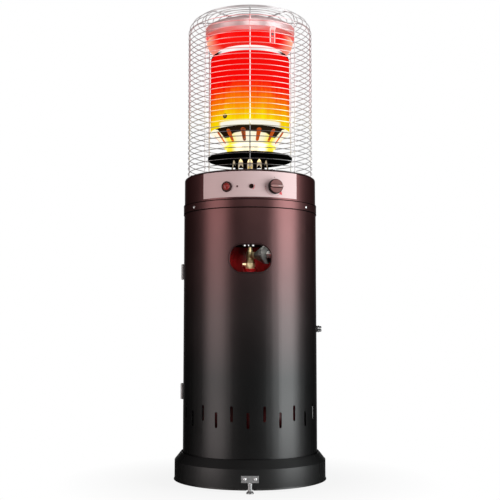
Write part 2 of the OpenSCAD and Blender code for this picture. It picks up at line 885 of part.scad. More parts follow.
// Holes that the controls pass through, in the head and in its panel
module control_holes() {
    outward(knob_a, control_z, head_in_r - 5) cylinder(r = spindle_hole_r, h = 20);
    outward(igniter_a, control_z, head_in_r - 5) cylinder(r = igniter_tube_r + seat_gap, h = 20);
    outward(sight_a, control_z, head_in_r - 5) cylinder(d = sight_hole_d + 2 + shank_play, h = 20);
    outward(stud_a, control_z, head_in_r - 5) cylinder(d = 3 + shank_play, h = 20);
}

// Curved control panel on the front of the head
module control_panel() {
    color("#cdb4b4")
        difference() {
            sector(panel_r, panel_out_r, panel_z, panel_z + panel_h, -panel_a, panel_a);
            control_holes();
        }
}

// Small stud beside the igniter
module panel_stud() {
    color("#5a2c2a")
        outward(stud_a, control_z, panel_out_r + seat_gap / 2)
            pan_screw(stud_d, 1.8, 3, panel_t + sheet_t + 2);
}

// Flanged ring of the sight port
module sight_bezel() {
    color("#17130f")
        outward(sight_a, control_z, 0)
            rotate_extrude()
                polygon([
                    [sight_hole_d / 2, head_in_r - 3], [sight_hole_d / 2 + 1, head_in_r - 3],
                    [sight_hole_d / 2 + 1, panel_out_r + seat_gap], [sight_d / 2, panel_out_r + seat_gap],
                    [sight_d / 2, panel_out_r + 1.2], [sight_d / 2 - 0.8, panel_out_r + 2],
                    [sight_hole_d / 2, panel_out_r + 2]
                ]);
}

// Bezel that clamps the igniter to the panel
module igniter_bezel() {
    r_in = igniter_tube_r + seat_gap;
    top = panel_out_r + igniter_reach;
    color("#141212")
        outward(igniter_a, control_z, 0)
            rotate_extrude()
                polygon([
                    [r_in, panel_out_r + seat_gap], [igniter_d / 2, panel_out_r + seat_gap],
                    [igniter_d / 2, top - 2], [igniter_d / 2 - 1.2, top - 0.5],
                    [igniter_d / 2 - 2.4, top], [button_r + move_gap, top],
                    [button_r + move_gap, igniter_front + seat_gap], [r_in, igniter_front + seat_gap]
                ]);
}

// Piezo igniter behind the panel, open at the front for the button
module igniter_body() {
    color("#d8d2c6")
        outward(igniter_a, control_z, 0)
            rotate_extrude()
                polygon([
                    [0, igniter_r0], [3, igniter_r0], [3, igniter_r0 + 5],
                    [igniter_tube_r - 2, igniter_r0 + 5], [igniter_tube_r, igniter_r0 + 8],
                    [igniter_tube_r, igniter_front], [button_r + run_fit, igniter_front],
                    [button_r + run_fit, button_r0 - button_travel - 1],
                    [0, button_r0 - button_travel - 1]
                ]);
}

// Domed push button of the igniter
module igniter_button() {
    dome = button_up - button_travel + 4;
    ball_r = (pow(button_r, 2) + pow(dome, 2)) / (2 * dome);
    color("#c8322a")
        outward(igniter_a, control_z, 0)
            intersection() {
                translate([0, 0, button_r0]) cylinder(r = button_r, h = button_r1 - button_r0);
                union() {
                    translate([0, 0, button_r0 - 1]) cylinder(r = button_r + 1, h = 12);
                    translate([0, 0, button_r0]) cylinder(r = button_r + 1, h = button_r1 - dome - button_r0);
                    translate([0, 0, button_r1 - ball_r]) sphere(ball_r);
                }
            }
}

// Gas valve behind the knob: body, nose for the spindle, two posts to the head and an inlet below
module gas_valve() {
    post_w = valve_w / 2 + 4;
    post_r1 = sqrt(pow(head_in_r, 2) - pow(post_w + 4, 2)) - seat_gap;
    color("#b8a878")
        rotate([0, 0, knob_a])
            difference() {
                union() {
                    translate([-valve_w / 2, -valve_r1, control_z - valve_h / 2])
                        cube([valve_w, valve_depth, valve_h]);
                    translate([-post_w - 4, -valve_r1, control_z - 5])
                        cube([2 * post_w + 8, 6, 10]);
                    outward(0, control_z, valve_r1 - eps)
                        cylinder(r = valve_nose_r, h = valve_nose_r1 - valve_r1 + eps);
                    for (s = [-1, 1])
                        translate([s * post_w, -valve_r1 + 1, control_z])
                            rotate([90, 0, 0]) cylinder(r = 4, h = post_r1 - valve_r1 + 1);
                    translate([0, -valve_r1 + valve_depth / 2, control_z - valve_h / 2 - 18])
                        cylinder(r = 7, h = 18 + eps);
                    translate([0, -valve_r1 + valve_depth / 2, control_z - valve_h / 2 - 8])
                        cylinder(r = 11, h = 8 + eps, $fn = 6);
                }
                outward(0, control_z, spindle_r0 - knob_travel - 1)
                    cylinder(r = spindle_r + run_fit, h = 60);
            }
}

// Washer that the spindle's spring pushes on: it slides with the knob and does not turn
module spindle_washer() {
    color("#a7a9ac")
        outward(knob_a, control_z, 0)
            ring(spindle_r + run_fit, spindle_r + 6, washer_r0, washer_r0 + washer_t);
}

// Spindle from the valve to the knob, with a clip in front of the washer
module valve_spindle() {
    clip_r = washer_r0 + washer_t + seat_gap;
    color("#c7c8ca")
        outward(knob_a, control_z, 0)
            rotate_extrude()
                polygon([
                    [0, spindle_r0], [spindle_r, spindle_r0], [spindle_r, clip_r],
                    [spindle_r + 2, clip_r], [spindle_r + 2, clip_r + clip_t], [spindle_r, clip_r + clip_t],
                    [spindle_r, knob_r1], [0, knob_r1]
                ]);
}

// Round knob with a tapered skirt and a grip bar across it
module control_knob() {
    kr = knob_d / 2;
    color("#2a1c1c")
        outward(knob_a, control_z, 0)
            difference() {
                union() {
                    rotate_extrude()
                        polygon([
                            [0, knob_r0], [kr, knob_r0], [kr, knob_r0 + 2], [kr - 1.6, knob_r1 - 1],
                            [kr - 3, knob_r1], [0, knob_r1]
                        ]);
                    intersection() {
                        translate([0, 0, knob_r1 - eps]) cylinder(r = kr - 2, h = knob_grip_h + eps);
                        translate([-kr, -knob_grip_w / 2, knob_r1 - eps])
                            cube([2 * kr, knob_grip_w, knob_grip_h + eps]);
                    }
                }
                translate([0, 0, knob_r0 - 1])
                    cylinder(r = spindle_r + run_fit, h = knob_skirt_h + 1 + seat_gap);
            }
}

// Bent pipe from the valve to the injector
module burner_pipe() {
    run_l = valve_r0 - pipe_bend;
    color("#b07a4a")
        rotate([0, 0, knob_a])
            translate([0, 0, control_z]) {
                translate([0, -valve_r0, 0]) rotate([-90, 0, 0]) cylinder(r = pipe_r, h = run_l);
                translate([0, -pipe_bend, pipe_bend])
                    rotate([0, 90, 0])
                        rotate_extrude(angle = 90)
                            translate([pipe_bend, 0]) circle(pipe_r);
                translate([0, 0, pipe_bend]) cylinder(r = pipe_r, h = injector_z - control_z - pipe_bend);
            }
}

// Brass injector on the end of the pipe, with a hexagon to turn it by
module injector() {
    color("#c9a64e")
        translate([0, 0, injector_z]) {
            cylinder(r = 10, h = 8, $fn = 6);
            translate([0, 0, 8 - eps])
                rotate_extrude()
                    polygon([[0, 0], [7, 0], [7, 8], [3, 14], [0, 14]]);
        }
}

// Places a child at the four screws of the pedestal's foot
module pedestal_screw_places() {
    for (k = [0:3])
        rotate([0, 0, 45 + 90 * k])
            translate([0, -pedestal_r - flange_w / 2, 0])
                children();
}

// Pointed window of the pedestal
module lancet_outline(w, h) {
    translate([-w / 2, 0]) square([w, h - w]);
    intersection() {
        translate([-w * 0.7, h - w]) circle(w * 1.2);
        translate([w * 0.7, h - w]) circle(w * 1.2);
        translate([-w / 2, h - w - eps]) square([w, 2 * w]);
    }
}

// Sheet pedestal under the burner, with pointed windows all round
module pedestal() {
    color("#151313")
        difference() {
            rotate_extrude()
                polygon([
                    [pedestal_r - burner_t, deck_z], [pedestal_r + flange_w, deck_z],
                    [pedestal_r + flange_w, deck_z + burner_t], [pedestal_r, deck_z + burner_t],
                    [pedestal_r, dish_z], [pedestal_r - flange_w, dish_z],
                    [pedestal_r - flange_w, dish_z - burner_t],
                    [pedestal_r - burner_t, dish_z - burner_t]
                ]);
            for (k = [0:lancets - 1])
                outward(360 / lancets * k, deck_z + lancet_up, pedestal_r - 5)
                    linear_extrude(10) lancet_outline(lancet_w, lancet_h);
            pedestal_screw_places()
                translate([0, 0, deck_z - 1]) cylinder(d = 4 + shank_play, h = 5);
        }
}

// Screws that hold the pedestal to the deck
module pedestal_screws() {
    color("#6c6a6a")
        pedestal_screw_places()
            translate([0, 0, deck_z + burner_t + seat_gap / 2])
                pan_screw(7, 2.4, 4, burner_t + sheet_t + 3);
}

// Wide flat dish with a turned-down edge and an opening to the neck
module burner_dish() {
    color("#100f0f")
        rotate_extrude()
            polygon([
                [neck_r - 14, dish_z], [dish_r - burner_t, dish_z],
                [dish_r - burner_t, dish_z - dish_edge], [dish_r, dish_z - dish_edge],
                [dish_r, dish_z + burner_t], [neck_r - 14, dish_z + burner_t]
            ]);
}

// Drum of the burner below the cone, flanged at both ends and closed on top
module burner_neck() {
    color("#e2c14a")
        rotate_extrude()
            polygon([
                [neck_r - burner_t, neck_z], [neck_r + flange_w, neck_z],
                [neck_r + flange_w, neck_z + burner_t], [neck_r, neck_z + burner_t],
                [neck_r, cone_z - burner_t], [neck_r + flange_w - 1, cone_z - burner_t],
                [neck_r + flange_w - 1, cone_z], [0, cone_z], [0, cone_z - burner_t],
                [neck_r - burner_t, cone_z - burner_t]
            ]);
}

// Pilot burner standing on the neck, with its bracket
module pilot_burner() {
    color("#b9b4a8")
        rotate([0, 0, port_a]) {
            translate([-9, -42, cone_z]) cube([18, 20, 1.5]);
            translate([-9, -24, cone_z + 1.5 - eps]) cube([18, 1.5, 26]);
            translate([0, -34, cone_z + 1.5 - eps]) cylinder(r = 4, h = 44);
            translate([0, -34, cone_z + 45]) cylinder(r = 6, h = 10, $fn = 6);
        }
}

// Thermocouple beside the pilot burner
module thermocouple() {
    color("#a87a4c")
        rotate([0, 0, port_a])
            translate([14, -34, cone_z]) {
                cylinder(r = 5, h = 6, $fn = 6);
                cylinder(r = 2.5, h = 66);
            }
}

// Spark electrode on the other side, a wire in a ceramic sleeve
module spark_electrode() {
    color("#e8e4da")
        rotate([0, 0, port_a])
            translate([-14, -34, cone_z]) {
                cylinder(r = 3.5, h = 38);
                cylinder(r = 1.2, h = 60);
            }
}

// Outline of a cone slot, wider at its upper end
module cone_slot() {
    w1 = cone_slot_w1 / 2;
    w2 = cone_slot_w2 / 2;
    l = cone_slant * 0.8 - w1 - w2;
    translate([0, -l / 2]) circle(w1);
    translate([0, l / 2]) circle(w2);
    polygon([[-w1, -l / 2], [w1, -l / 2], [w2, l / 2], [-w2, l / 2]]);
}

// Polished cone between neck and drum, slotted all round, with a flange that carries the drum
module emitter_cone() {
    top = cone_z + cone_h;
    w = burner_t / cos(cone_slope_a);
    color("#e0a35a")
        difference() {
            rotate_extrude()
                polygon([
                    [neck_r - 10, cone_z], [cone_r1, cone_z], [cone_r2, top], [drum_r + 1, top],
                    [drum_r + 1, top + burner_t], [cone_r2 - w, top + burner_t],
                    [cone_r1 - w, cone_z + burner_t], [neck_r - 10, cone_z + burner_t]
                ]);
            for (k = [0:cone_slots - 1])
                rotate([0, 0, cone_first_a + 360 / cone_slots * k])
                    translate([0, -(cone_r1 + cone_r2) / 2, cone_z + cone_h / 2])
                        rotate([90 + cone_slope_a, 0, 0])
                            translate([0, 0, -10])
                                linear_extrude(20) cone_slot();
        }
}

// Emitter drum standing on the cone's flange
module emitter_drum() {
    color("#ff5a1e")
        difference() {
            ring(drum_r - burner_t, drum_r, drum_z, cover_z);
            outward(port_a, drum_z + port_up, drum_r - 10) cylinder(d = port_d - 4, h = 20);
        }
}

// Flanged bush of the ignition port
module ignition_port() {
    color("#6f6663")
        outward(port_a, drum_z + port_up, 0)
            rotate_extrude()
                polygon([
                    [port_d / 2 - 4.5, drum_r - 6], [port_d / 2 - 2 - seat_gap, drum_r - 6],
                    [port_d / 2 - 2 - seat_gap, drum_r + seat_gap], [port_d / 2, drum_r + seat_gap],
                    [port_d / 2, drum_r + 1.4], [port_d / 2 - 1, drum_r + 2.4],
                    [port_d / 2 - 4.5, drum_r + 2.4]
                ]);
}

// Rounded cover on the drum
module emitter_cover() {
    color("#2a0d0a")
        pan(drum_r, cover_z, cover_top_z, cover_edge, burner_t);
}

// Round-sided bowl above the drum, on three pressed feet
module reflector_bowl() {
    color("#d21a10") {
        difference() {
            rotate_extrude()
                difference() {
                    bowl_profile(bowl_h);
                    bowl_profile(bowl_h - burner_t);
                }
            radial_holes([for (a = straps_a) [a, strap_screw_z]], 4 + shank_play, bowl_r - 20, bowl_r + 5);
        }
        for (k = [0:2])
            rotate([0, 0, strap_a + 60 + 120 * k])
                translate([0, -60, cover_top_z]) cylinder(r = 6, h = bowl_gap + burner_t / 2);
    }
}

// Half profile of the bowl's inside or outside
module bowl_profile(r) {
    intersection() {
        union() {
            translate([bowl_r - bowl_h, bowl_rim_z]) circle(r);
            translate([0, bowl_rim_z - r]) square([bowl_r - bowl_h, r]);
        }
        translate([0, bowl_rim_z - r]) square([bowl_r, r]);
    }
}

// Straps that carry the cap on the bowl
module cap_straps() {
    z0 = bowl_rim_z - 34;
    z1 = cap_z - 3;
    z2 = cap_z + cap_h - cap_edge - 2;
    color("#b05a50")
        difference() {
            for (a = straps_a)
                rotate([0, 0, a])
                    translate([-strap_w / 2, 0, 0]) {
                        translate([0, -strap_r0 - strap_t, z0]) cube([strap_w, strap_t, z1 - z0]);
                        translate([0, -strap_r1 - strap_t, z1 - strap_t])
                            cube([strap_w, strap_r1 - strap_r0 + strap_t, strap_t]);
                        translate([0, -strap_r1 - strap_t, z1 - strap_t])
                            cube([strap_w, strap_t, z2 - z1 + strap_t]);
                    }
            radial_holes([for (a = straps_a) [a, strap_screw_z]], 4 + shank_play, bowl_r - 5, bowl_r + 8);
        }
}

// Screws of the straps
module strap_screws() {
    color("#4a2a28")
        for (a = straps_a)
            outward(a, strap_screw_z, strap_r0 + strap_t + seat_gap / 2)
                pan_screw(8, 2.2, 4, strap_t + burner_t + 6);
}

// Polished cap over the bowl
module reflector_cap() {
    color("#d9bcbc")
        pan(cap_r, cap_z, cap_top_z, cap_edge, burner_t);
}

// Ring wires of the guard, up the side, round the shoulder and over the top
module guard_rings() {
    color("#cfd0d2")
        for (i = [0:rings]) {
            p = ring_at(i * ring_pitch);
            translate([0, 0, p[1]])
                rotate_extrude()
                    translate([p[0], 0]) circle(ring_r, $fn = ring_sides);
        }
}

// One upright wire: up the side, round the shoulder and in over the top
module guard_upright() {
    z0 = deck_z + seat_gap / 2;
    translate([0, -upright_c, z0]) cylinder(r = upright_r, h = bend_z - z0);
    translate([0, -bend_c, bend_z])
        rotate([0, 0, -90])
            rotate([90, 0, 0])
                rotate_extrude(angle = 90)
                    translate([upright_bend, 0]) circle(upright_r);
    translate([0, -bend_c, upright_top_z])
        rotate([-90, 0, 0]) cylinder(r = upright_r, h = top_run);
}

// Upright wires of the guard, inside the rings
module guard_uprights() {
    color("#d6d7d9")
        for (k = [0:uprights - 1])
            rotate([0, 0, 360 / uprights * k]) guard_upright();
}

// Clips that hold the lowest ring to the deck
module guard_clips() {
    color("#8f9092")
        difference() {
            for (a = clips_a)
                rotate([0, 0, a])
                    translate([-clip_w / 2, -clip_r1, 0]) {
                        translate([0, 0, clip_z]) cube([clip_w, clip_r1 - clip_r0, sheet_t]);
                        translate([0, clip_r1 - clip_r0 - sheet_t, deck_z])
                            cube([clip_w, sheet_t, clip_z - deck_z + sheet_t]);
                    }
            for (a = clips_a)
                rotate([0, 0, a])
                    translate([0, -clip_screw_r, deck_z]) cylinder(d = 4 + shank_play, h = 10);
        }
}

// Screws of the clips
module guard_screws() {
    color("#77777a")
        for (a = clips_a)
            rotate([0, 0, a])
                translate([0, -clip_screw_r, clip_z + sheet_t + seat_gap / 2])
                    pan_screw(7, 2.4, 4, ring_d + 2 * sheet_t + 4);
}

// Half profile of the gas cylinder: crowned ends that run into the side through a knuckle
module cylinder_profile(r, crown, knuckle, z0, z1) {
    rise = crown - sqrt(pow(crown - knuckle, 2) - pow(r - knuckle, 2));
    touch_r = crown * (r - knuckle) / (crown - knuckle);
    translate([0, z0 + rise]) square([r, z1 - z0 - 2 * rise]);
    for (end = [0, 1]) {
        zc = end == 0 ? z0 + crown : z1 - crown;
        zk = end == 0 ? z0 + rise : z1 - rise;
        intersection() {
            translate([r - knuckle, zk]) circle(knuckle);
            translate([0, z0]) square([r + 1, z1 - z0]);
        }
        intersection() {
            translate([0, zc]) circle(crown);
            translate([0, end == 0 ? z0 - 1 : zk - 1]) square([touch_r, rise + 2]);
        }
    }
}

// Gas cylinder: a thin shell with a neck for its valve
module cylinder_shell() {
    color("#b3141a")
        difference() {
            union() {
                rotate_extrude() cylinder_profile(cyl_r, crown_r, knuckle_r, cyl_z, cyl_top_z);
                translate([0, 0, cyl_top_z - 4]) cylinder(d = neck_d, h = cyl_neck_z - cyl_top_z + 4);
            }
            rotate_extrude()
                cylinder_profile(cyl_r - cyl_t, crown_r - cyl_t, knuckle_r - cyl_t,
                                 cyl_z + cyl_t, cyl_top_z - cyl_t);
            translate([0, 0, cyl_top_z - 20])
                cylinder(d = valve_thread_d + 2 * run_fit, h = cyl_neck_z - cyl_top_z + 30);
        }
}

// Foot ring that the gas cylinder stands on
module cylinder_foot_ring() {
    ring_in = cyl_foot_r - cyl_t;
    top = bottom_z(ring_in) - seat_gap;
    color("#9a1217")
        difference() {
            ring(ring_in, cyl_foot_r, plate_z, top);
            for (k = [0:2])
                outward(30 + 120 * k, (plate_z + top) / 2, cyl_foot_r - 20)
                    cylinder(r = (top - plate_z) / 4, h = 40);
        }
}

// Guard collar round the cylinder's valve, open at the front
module cylinder_collar() {
    z0 = crown_z(collar_r - collar_t) + seat_gap;
    z1 = cyl_top_z + collar_up;
    color("#b3141a")
        union() {
            sector(collar_r - collar_t, collar_r, z0, z1, collar_open_right, 360 + collar_open_left);
            sector(collar_r - collar_t, collar_r + 5, z1 - collar_t, z1,
                   collar_open_right, 360 + collar_open_left);
        }
}

// Brass cylinder valve: thread, hexagon, body, bonnet, relief plug and outlet
module cylinder_valve() {
    color("#c8a860")
        difference() {
            union() {
                translate([0, 0, cyl_top_z - 8])
                    cylinder(d = valve_thread_d, h = valve_base_z - cyl_top_z + 8 + eps);
                translate([0, 0, valve_base_z])
                    cylinder(d = valve_base_w / cos(30), h = valve_base_h, $fn = 6);
                translate([0, 0, valve_base_z])
                    cylinder(d = valve_body_d, h = valve_body_z1 - valve_base_z);
                translate([0, 0, valve_body_z1 - eps])
                    cylinder(d1 = valve_body_d - 4, d2 = wheel_stem_d + 6, h = bonnet_z1 - valve_body_z1);
                outward(-90, valve_base_z + valve_base_h / 2, 0) cylinder(d = 10, h = 22);
                outward(outlet_a, outlet_z, 0) cylinder(d = nose_d + 7, h = nut_r0 - 2);
            }
            outward(outlet_a, outlet_z, nut_r0 - 12)
                cylinder(d = nose_d + 2 * run_fit, h = 20);
            translate([0, 0, bonnet_z1 - 20])
                cylinder(d = wheel_stem_d + 2 * run_fit, h = 30);
        }
}

// Hand wheel with a lobed rim, on the stem that opens the cylinder
module hand_wheel() {
    lobes = 8;
    wr = wheel_d / 2;
    color("#1d1d1f") {
        difference() {
            translate([0, 0, wheel_z]) cylinder(r = wr, h = wheel_h);
            for (k = [0:lobes - 1])
                rotate([0, 0, 360 / lobes * k])
                    translate([wr + 4, 0, wheel_z - 1]) cylinder(r = 8, h = wheel_h + 2);
            translate([0, 0, wheel_z + wheel_h - 4])
                ring(wr / 3, wr * 0.68, 0, 10);
        }
        translate([0, 0, bonnet_z1 - 19]) cylinder(d = wheel_stem_d, h = wheel_z - bonnet_z1 + 20);
    }
}

// Hand-tight coupling nut: a nose in the valve's outlet and a cone that widens to a gripped rim
module coupling_nut() {
    grips = 16;
    nr = nut_d / 2;
    color("#3b4142")
        outward(outlet_a, outlet_z, 0)
            difference() {
                rotate_extrude()
                    polygon([
                        [0, nut_r0 - 9], [nose_d / 2, nut_r0 - 9], [nose_d / 2, nut_r0 - 2 + move_gap],
                        [nose_d / 2 + 3, nut_r0 + move_gap], [nr, nut_r1], [nr, nut_r2 - 1.5],
                        [nr - 1.5, nut_r2], [0, nut_r2]
                    ]);
                translate([0, 0, stub_r0 - 1]) cylinder(d = stub_d + 2 * run_fit, h = 60);
                for (k = [0:grips - 1])
                    rotate([0, 0, 360 / grips * k])
                        translate([nr + 1, 0, nut_r1 - 6]) cylinder(r = 2, h = nut_r2 - nut_r1 + 10);
            }
}

// Regulator beyond the nut: inlet stub, round body with a cover, and a ribbed outlet
module regulator() {
    out_r = reg_c + reg_r;
    color("#8f9599")
        rotate([0, 0, outlet_a]) {
            outward(0, outlet_z, stub_r0) cylinder(d = stub_d, h = reg_c - reg_r - stub_r0 + 4);
            outward(0, outlet_z, nut_r2 + 4) cylinder(r = 11, h = reg_c - reg_r - nut_r2, $fn = 6);
            translate([0, -reg_c, outlet_z - reg_h / 2])
                rotate_extrude()
                    polygon([
                        [0, 0], [reg_r - 5, 0], [reg_r, 5], [reg_r, reg_h - 6], [reg_r - 5, reg_h],
                        [reg_r * 0.4, reg_h + 4], [reg_r * 0.4, reg_h + 8], [0, reg_h + 8]
                    ]);
            outward(0, outlet_z, out_r - 4)
                rotate_extrude()
                    polygon([
                        [0, 0], [7, 0], [7, 10], [4.4, 10], [5.4, 13], [4.4, 16], [5.4, 19], [4, 23], [0, 23]
                    ]);
        }
}

base_ring();
base_plate();
foot_brackets();
bracket_screws();
foot_front();
foot_right();
foot_left();
body_shell();
collar_band();
band_screws();
rear_door();
hinge_frame_leaves();
hinge_door_leaves();
hinge_pins();
hinge_frame_screws();
hinge_door_screws();
latch_bush();
latch_knob();
latch_cam();
control_housing();
control_panel();
panel_stud();
sight_bezel();
igniter_bezel();
igniter_body();
igniter_button();
gas_valve();
spindle_washer();
valve_spindle();
control_knob();
burner_pipe();
injector();
pedestal();
pedestal_screws();
burner_dish();
burner_neck();
pilot_burner();
thermocouple();
spark_electrode();
emitter_cone();
emitter_drum();
ignition_port();
emitter_cover();
reflector_bowl();
cap_straps();
strap_screws();
reflector_cap();
guard_rings();
guard_uprights();
guard_clips();
guard_screws();
cylinder_shell();
cylinder_foot_ring();
cylinder_collar();
cylinder_valve();
hand_wheel();
coupling_nut();
regulator();
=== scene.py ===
"""Finishes and small pieces of a gas patio heater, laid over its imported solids."""

import functools
import math

import bmesh
import bpy
from bpy.props import FloatProperty, FloatVectorProperty, IntProperty, PointerProperty
from mathutils import Matrix, Vector


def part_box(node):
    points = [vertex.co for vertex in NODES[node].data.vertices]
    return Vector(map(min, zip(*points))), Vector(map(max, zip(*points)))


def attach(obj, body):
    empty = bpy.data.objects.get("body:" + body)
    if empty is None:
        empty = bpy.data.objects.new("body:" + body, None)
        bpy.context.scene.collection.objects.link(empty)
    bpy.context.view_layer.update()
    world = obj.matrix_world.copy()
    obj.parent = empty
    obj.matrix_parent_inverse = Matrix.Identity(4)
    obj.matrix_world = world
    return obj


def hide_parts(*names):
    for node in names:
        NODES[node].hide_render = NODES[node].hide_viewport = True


bl_info = {
    "name": "Gas Patio Heater",
    "version": (1, 0, 0),
    "blender": (4, 5, 0),
    "location": "View3D > Sidebar > Heater",
    "description": "Dresses the solids of a gas patio heater with finishes and small pieces",
    "category": "Object",
}

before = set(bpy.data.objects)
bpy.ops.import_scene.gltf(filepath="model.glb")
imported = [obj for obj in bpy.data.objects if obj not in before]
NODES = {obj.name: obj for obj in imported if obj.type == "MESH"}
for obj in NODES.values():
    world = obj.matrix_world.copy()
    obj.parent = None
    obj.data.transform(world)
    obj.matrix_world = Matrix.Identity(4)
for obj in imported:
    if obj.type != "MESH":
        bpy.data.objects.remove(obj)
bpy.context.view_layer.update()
DRUM_LOW, DRUM_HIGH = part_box("emitter_drum")
CONE_LOW, CONE_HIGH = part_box("emitter_cone")
NECK_LOW, NECK_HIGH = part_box("burner_neck")
BOWL_LOW, BOWL_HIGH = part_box("reflector_bowl")
CAP_LOW, CAP_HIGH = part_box("reflector_cap")
RINGS_LOW, RINGS_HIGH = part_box("guard_rings")
BAND_LOW, BAND_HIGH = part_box("collar_band")
KNOB_LOW, KNOB_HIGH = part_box("control_knob")
KNOB_Z = (KNOB_LOW.z + KNOB_HIGH.z) / 2
KNOB_TURN = math.radians(20.5)
UPRIGHTS_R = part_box("guard_uprights")[1].x
PEDESTAL_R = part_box("pedestal")[1].x
SHELL_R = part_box("body_shell")[1].x
FULL_TURN = 2 * math.pi
STRAP_STEP = FULL_TURN / 3
# Heights between which the cabinet's coat takes its painted red glow cast from the burner.
PAINTED_GLOW_FOOT, PAINTED_GLOW_TOP = 0.3, 0.86
BLACK = (0.0, 0.0, 0.0)


# Properties

def length(name, text, default):
    """A size in metres that a user may change."""
    return FloatProperty(name=name, description=text, default=default, min=0.0, precision=5, unit="LENGTH")


def whole(name, text, default, least):
    """A number of pieces that a user may change."""
    return IntProperty(name=name, description=text, default=default, min=least)


def bearing(name, text, degrees):
    """An angle that a user may change."""
    return FloatProperty(name=name, description=text, default=math.radians(degrees), subtype="ANGLE")


def watts(name, text, default):
    """Power of a light that a user may change."""
    return FloatProperty(name=name, description=text, default=default, unit="POWER")


def colour(name, text, default):
    """A linear colour that a user may change."""
    return FloatVectorProperty(name=name, description=text, default=default, size=3, min=0.0, max=1.0,
                               subtype="COLOR")


class HeaterSizes(bpy.types.PropertyGroup):
    screen_pitch: length("Screen Pitch", "Distance between wires of the emitter screen", 0.0034)
    screen_wire: length("Screen Wire", "Diameter of a wire of the emitter screen", 0.0007)
    ring_pitch: length("Ring Pitch", "Distance between guard rings along the guard", 0.0159)
    ring_wire: length("Ring Wire", "Diameter of the guard's ring wire", 0.0022)
    guard_bend: length("Guard Shoulder", "Radius of the guard's shoulder", 0.044)
    rings: whole("Guard Rings", "Number of guard rings", 38, 1)
    uprights: whole("Guard Uprights", "Number of upright wires", 8, 3)
    weld: length("Weld", "Diameter of the weld where two guard wires cross", 0.003)
    cone_foot: length("Cone Foot", "Radius of the emitter cone at its foot", 0.078)
    cone_top: length("Cone Top", "Radius of the emitter cone at its top", 0.1115)
    strap_w: length("Strap Width", "Width of a strap of the cap", 0.017)
    strap_turn: bearing("First Strap", "Angle of the first strap from the front", 30.0)
    edging: length("Window Edging", "Diameter of the rolled edge of the hand window", 0.0048)
    window_w: length("Window Width", "Width of the hand window", 0.118)
    window_h: length("Window Height", "Height of the hand window", 0.0796)
    window_corner: length("Window Corner", "Corner radius of the hand window", 0.035)
    window_x: length("Window Offset", "How far the window's middle is right of the axis", 0.001)
    window_z: length("Window Middle", "Height of the window's middle", 0.6328)
    knob_d: length("Knob", "Diameter of the control knob", 0.042)
    knob_flutes: whole("Knob Flutes", "Flutes round the knob's skirt", 40, 8)


class HeaterFinishes(bpy.types.PropertyGroup):
    coat_low: colour("Coat Below", "Powder coat near the floor", (0.04, 0.04, 0.0402))
    # The middle and upper coat colours hold a painted red glow cast from the burner over the black coat.
    coat_middle: colour("Coat Middle", "Powder coat where the warm cast begins", (0.066, 0.0525, 0.0525))
    coat_high_painted_glow: colour("Coat Above", "Powder coat near the burner's glow", (0.138, 0.056, 0.056))
    base_coat: colour("Base Coat", "Powder coat of the base", (0.052, 0.052, 0.0522))
    panel: colour("Panel", "Brushed stainless of the control panel", (0.66, 0.5, 0.5))
    cap: colour("Cap", "Polished stainless of the cap", (0.86, 0.66, 0.67))
    wire: colour("Guard Wire", "Bright wire of the guard", (0.62, 0.6, 0.605))
    zinc: colour("Zinc", "Plated steel of feet and clips", (0.66, 0.66, 0.665))
    cylinder: colour("Cylinder", "Enamel of the gas cylinder", (0.27, 0.007, 0.009))
    glow_red: colour("Glow Red", "Upper part of the emitter", (1.0, 0.0, 0.0))
    glow_orange: colour("Glow Orange", "Middle of the emitter", (1.0, 0.19, 0.0))
    glow_yellow: colour("Glow Yellow", "Lower part of the emitter", (1.0, 0.62, 0.0))
    glow_white: colour("Glow White", "Foot of the emitter", (1.0, 0.97, 0.86))
    brass: colour("Brass", "Turned brass of the cylinder valve", (0.8, 0.68, 0.38))
    nut: colour("Coupling", "Ribbed plastic of the coupling nut", (0.058, 0.063, 0.064))


class HeaterStudio(bpy.types.PropertyGroup):
    camera_y: length("Camera Distance", "Camera's distance in front of the axis", 2.6907)
    camera_z: length("Camera Height", "Camera's height above the floor", 0.4319)
    camera_up: bearing("Camera Tilt", "How far the camera looks up", 5.12)
    lens: FloatProperty(name="Lens", description="Focal length on a 36 mm wide sensor", default=65.23,
                        subtype="DISTANCE_CAMERA")
    left_power: watts("Left Strip", "Power of the strip light on the left", 35.0)
    right_power: watts("Right Strip", "Power of the strip light on the right", 84.0)
    fill_power: watts("Fill", "Power of the soft light above the camera", 11.0)
    window_power: watts("Window Light", "Power of the small light behind the hand window", 0.18)
    floor: colour("Floor", "Colour of the floor", (0.6, 0.6, 0.6))


# Node trees

